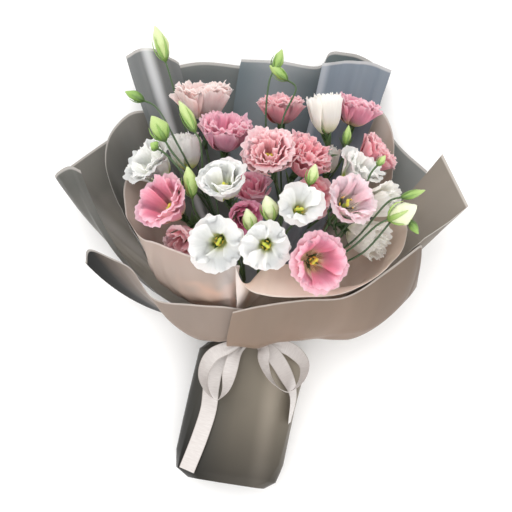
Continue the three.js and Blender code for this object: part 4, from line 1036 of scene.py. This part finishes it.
# painted shade: darker away from the light in the middle, out to the sides
tones = add("ValToRGB", {0: share}, stops=[
    (0, "#827A6D"), (0.4, "#756E62"), (0.75, "#4A4842"), (1, "#1F201D")])
from_fold = distance_from(add, spot, SLEEVE_FOLD[0])
fold_light = add("MapRange", (from_fold, SLEEVE_FOLD[1], 0, 0, 0.45), interpolation_type="SMOOTHSTEP")
lit = add("Mix", {0: fold_light, 6: tones, 7: linear("#AAA092")}, data_type="RGBA")
cloud = add("TexNoise", {"Vector": place, "Scale": 1000 / SLEEVE_CLOUD, "Detail": 2})
lightness = add("MapRange", (cloud, 0.3, 0.7, 0.92, 1.1))
lower = add("MapRange", (spot.outputs["Y"], *SLEEVE_DARKENS, 1.1, 0.22))
value = add("Math", (lightness, lower), operation="MULTIPLY")
toned = add("HueSaturation", {"Value": value, "Color": lit.outputs[2]})
frost = add("TexNoise", {"Vector": place, "Scale": 1000 / FROST, "Detail": 2})
bump = add("Bump", {"Strength": 0.08, "Distance": 0.0004, "Height": frost})
finish_material(add, {
    "Base Color": toned, "Roughness": 0.38, "Normal": bump, "Specular IOR Level": 0.22})
sleeve.data.materials.append(sleeve_film)
bpy.ops.object.shade_smooth_by_angle(angle=SHARP)
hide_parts("film_sleeve")
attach(sleeve, "root")

# Ribbon
# One length of plain satin ribbon, woven with firm selvedges: a band round the waist, a knot, two loops and
# two tails. It is bare, with nothing printed on it.
RIBBON_WIDTH = 19
BAND_TOP = -84
BAND_RADIUS = 27.5
KNOT = (10, -96, 71.6)
KNOT_SIZE = (15, 6.6, 3.9)  # length, and half width and half height of its core
RIBBON_THICKNESS = 0.25
RIBBON_GRID = (14, 90)
STRIP_LENGTH = 192
RIB_SIZE = (9.5, 1.2)  # how far a rib runs, and their spacing: real ones are finer and wouldn't show
# A strip is a row of (middle point, lean in degrees): 0 lies flat, 90 stands on its edge.
LOOPS = (
    (((6, -98, 75), 0), ((-11, -112, 80), 8), ((-33, -128, 83), 30), ((-39, -152, 82), 55),
     ((-30, -170, 81), 78), ((-19, -177, 80), 90), ((-11, -165, 80), 66), ((-9, -140, 79), 22),
     ((-5, -116, 75), 4), ((7, -99, 70.6), 0)),
    (((14, -98, 75), 0), ((26, -110, 79), 12), ((28, -124, 82), 46), ((42, -146, 82), 76),
     ((62, -155, 81), 90), ((75, -140, 79), 75), ((76, -120, 76), 55), ((60, -106, 72), 30),
     ((38, -101, 70.5), 8), ((13, -99, 70.6), 0)),
)
TAILS = (
    (((3, -99, 71), 0), ((-13, -114, 69), 0), ((-26, -138, 66), 0), ((-28, -162, 65), 0),
     ((-27, -188, 64), 0), ((-32, -222, 63.6), -4), ((-41, -262, 60.5), -12)),
    (((15, -99, 71), 0), ((38, -114, 70.5), 4), ((56, -134, 68), 20), ((69, -156, 64), 60),
     ((70, -190, 58), 80)),
)


def strip(points, pinched):
    """A strip of ribbon along its points, drawn together where it enters the knot."""
    middle = through([point for point, _ in points])
    leans = through([(k, math.radians(lean), 0) for k, (_, lean) in enumerate(points)])

    def surface(u, v):
        along = unit(middle(np.minimum(v + 0.005, 1)) - middle(np.maximum(v - 0.005, 0)))
        side = unit(np.stack([along[:, 1], -along[:, 0], 0 * v], -1))
        lean = leans(v)[:, 1:2]
        width = side * np.cos(lean) + np.sin(lean) * (0, 0, 1)
        width = unit(width - np.sum(width * along, axis=1, keepdims=True) * along)
        ends = np.minimum(v, 1 - v) if pinched else v
        share = 0.55 + 0.45 * np.clip(4 * ends, 0, 1)
        crease = np.exp(-(ends / 0.12) ** 2) * np.sin(u * 14) + 0.5 * np.cos(np.pi * (2 * u - 1) * 0.5)
        face = np.cross(along, width)
        return middle(v) + ((u - 0.5) * RIBBON_WIDTH * share)[:, None] * width + crease[:, None] * face

    return surface


def band(u, v):
    """The band round the waist, with a slight wave across it."""
    return waist_point(360 * v, BAND_RADIUS + 0.25 * np.sin(u * 9), BAND_TOP - RIBBON_WIDTH * u)


def knot(u, v):
    """The knot, one turn of gathered ribbon that is fullest in its middle."""
    turn = 2 * np.pi * v
    gather = 0.5 * np.sin(u * 17) + 0.9 * np.sin(np.pi * u)
    length, half_width, half_height = KNOT_SIZE
    return np.stack([
        KNOT[0] + (u - 0.5) * length * (1 + 0.12 * np.cos(turn)),
        KNOT[1] + (half_width + gather) * np.cos(turn), KNOT[2] + (half_height + gather) * np.sin(turn)], -1)


strips = [strip(points, True) for points in LOOPS] + [strip(points, False) for points in TAILS]
ribbon = closed(grids("ribbon_bow", strips + [band, knot], *RIBBON_GRID))
applied(ribbon, "SOLIDIFY", thickness=RIBBON_THICKNESS / 1000, offset=0)
satin, add = new_material("woven_satin_ribbon")
# off-white polyester satin: a silky gloss along the weft, faint ribs across it and two firm selvedges
flat = add("UVMap", {}, uv_map="UVMap")
spot = add("SeparateXYZ", {0: flat})
from_middle = distance_from(add, spot, 0.5)
selvedge = add("MapRange", (from_middle, 0.455, 0.47))
drawn = add("Mapping", {
    "Vector": flat, "Scale": (RIBBON_WIDTH / RIB_SIZE[0], STRIP_LENGTH / RIB_SIZE[1], 1)})
weft = add("TexNoise", {"Vector": drawn, "Scale": 1, "Detail": 3})
tones = add("ValToRGB", {0: weft}, stops=[(0.3, "#BFB9B6"), (0.7, "#CCC7C4")])
edged = add("Mix", {0: selvedge, 6: tones, 7: linear("#AEA7A2")}, data_type="RGBA")
raised = add("Math", (selvedge, 0.6, weft), operation="MULTIPLY_ADD")
bump = add("Bump", {"Strength": 0.25, "Distance": 0.0003, "Height": raised})
finish_material(add, {
    "Base Color": edged.outputs[2], "Roughness": 0.36, "Normal": bump, "Sheen Weight": 0.1,
    "Anisotropic": 0.4})
ribbon.data.materials.append(satin)
bpy.ops.object.shade_smooth_by_angle(angle=SHARP)
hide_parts("ribbon")
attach(ribbon, "root")
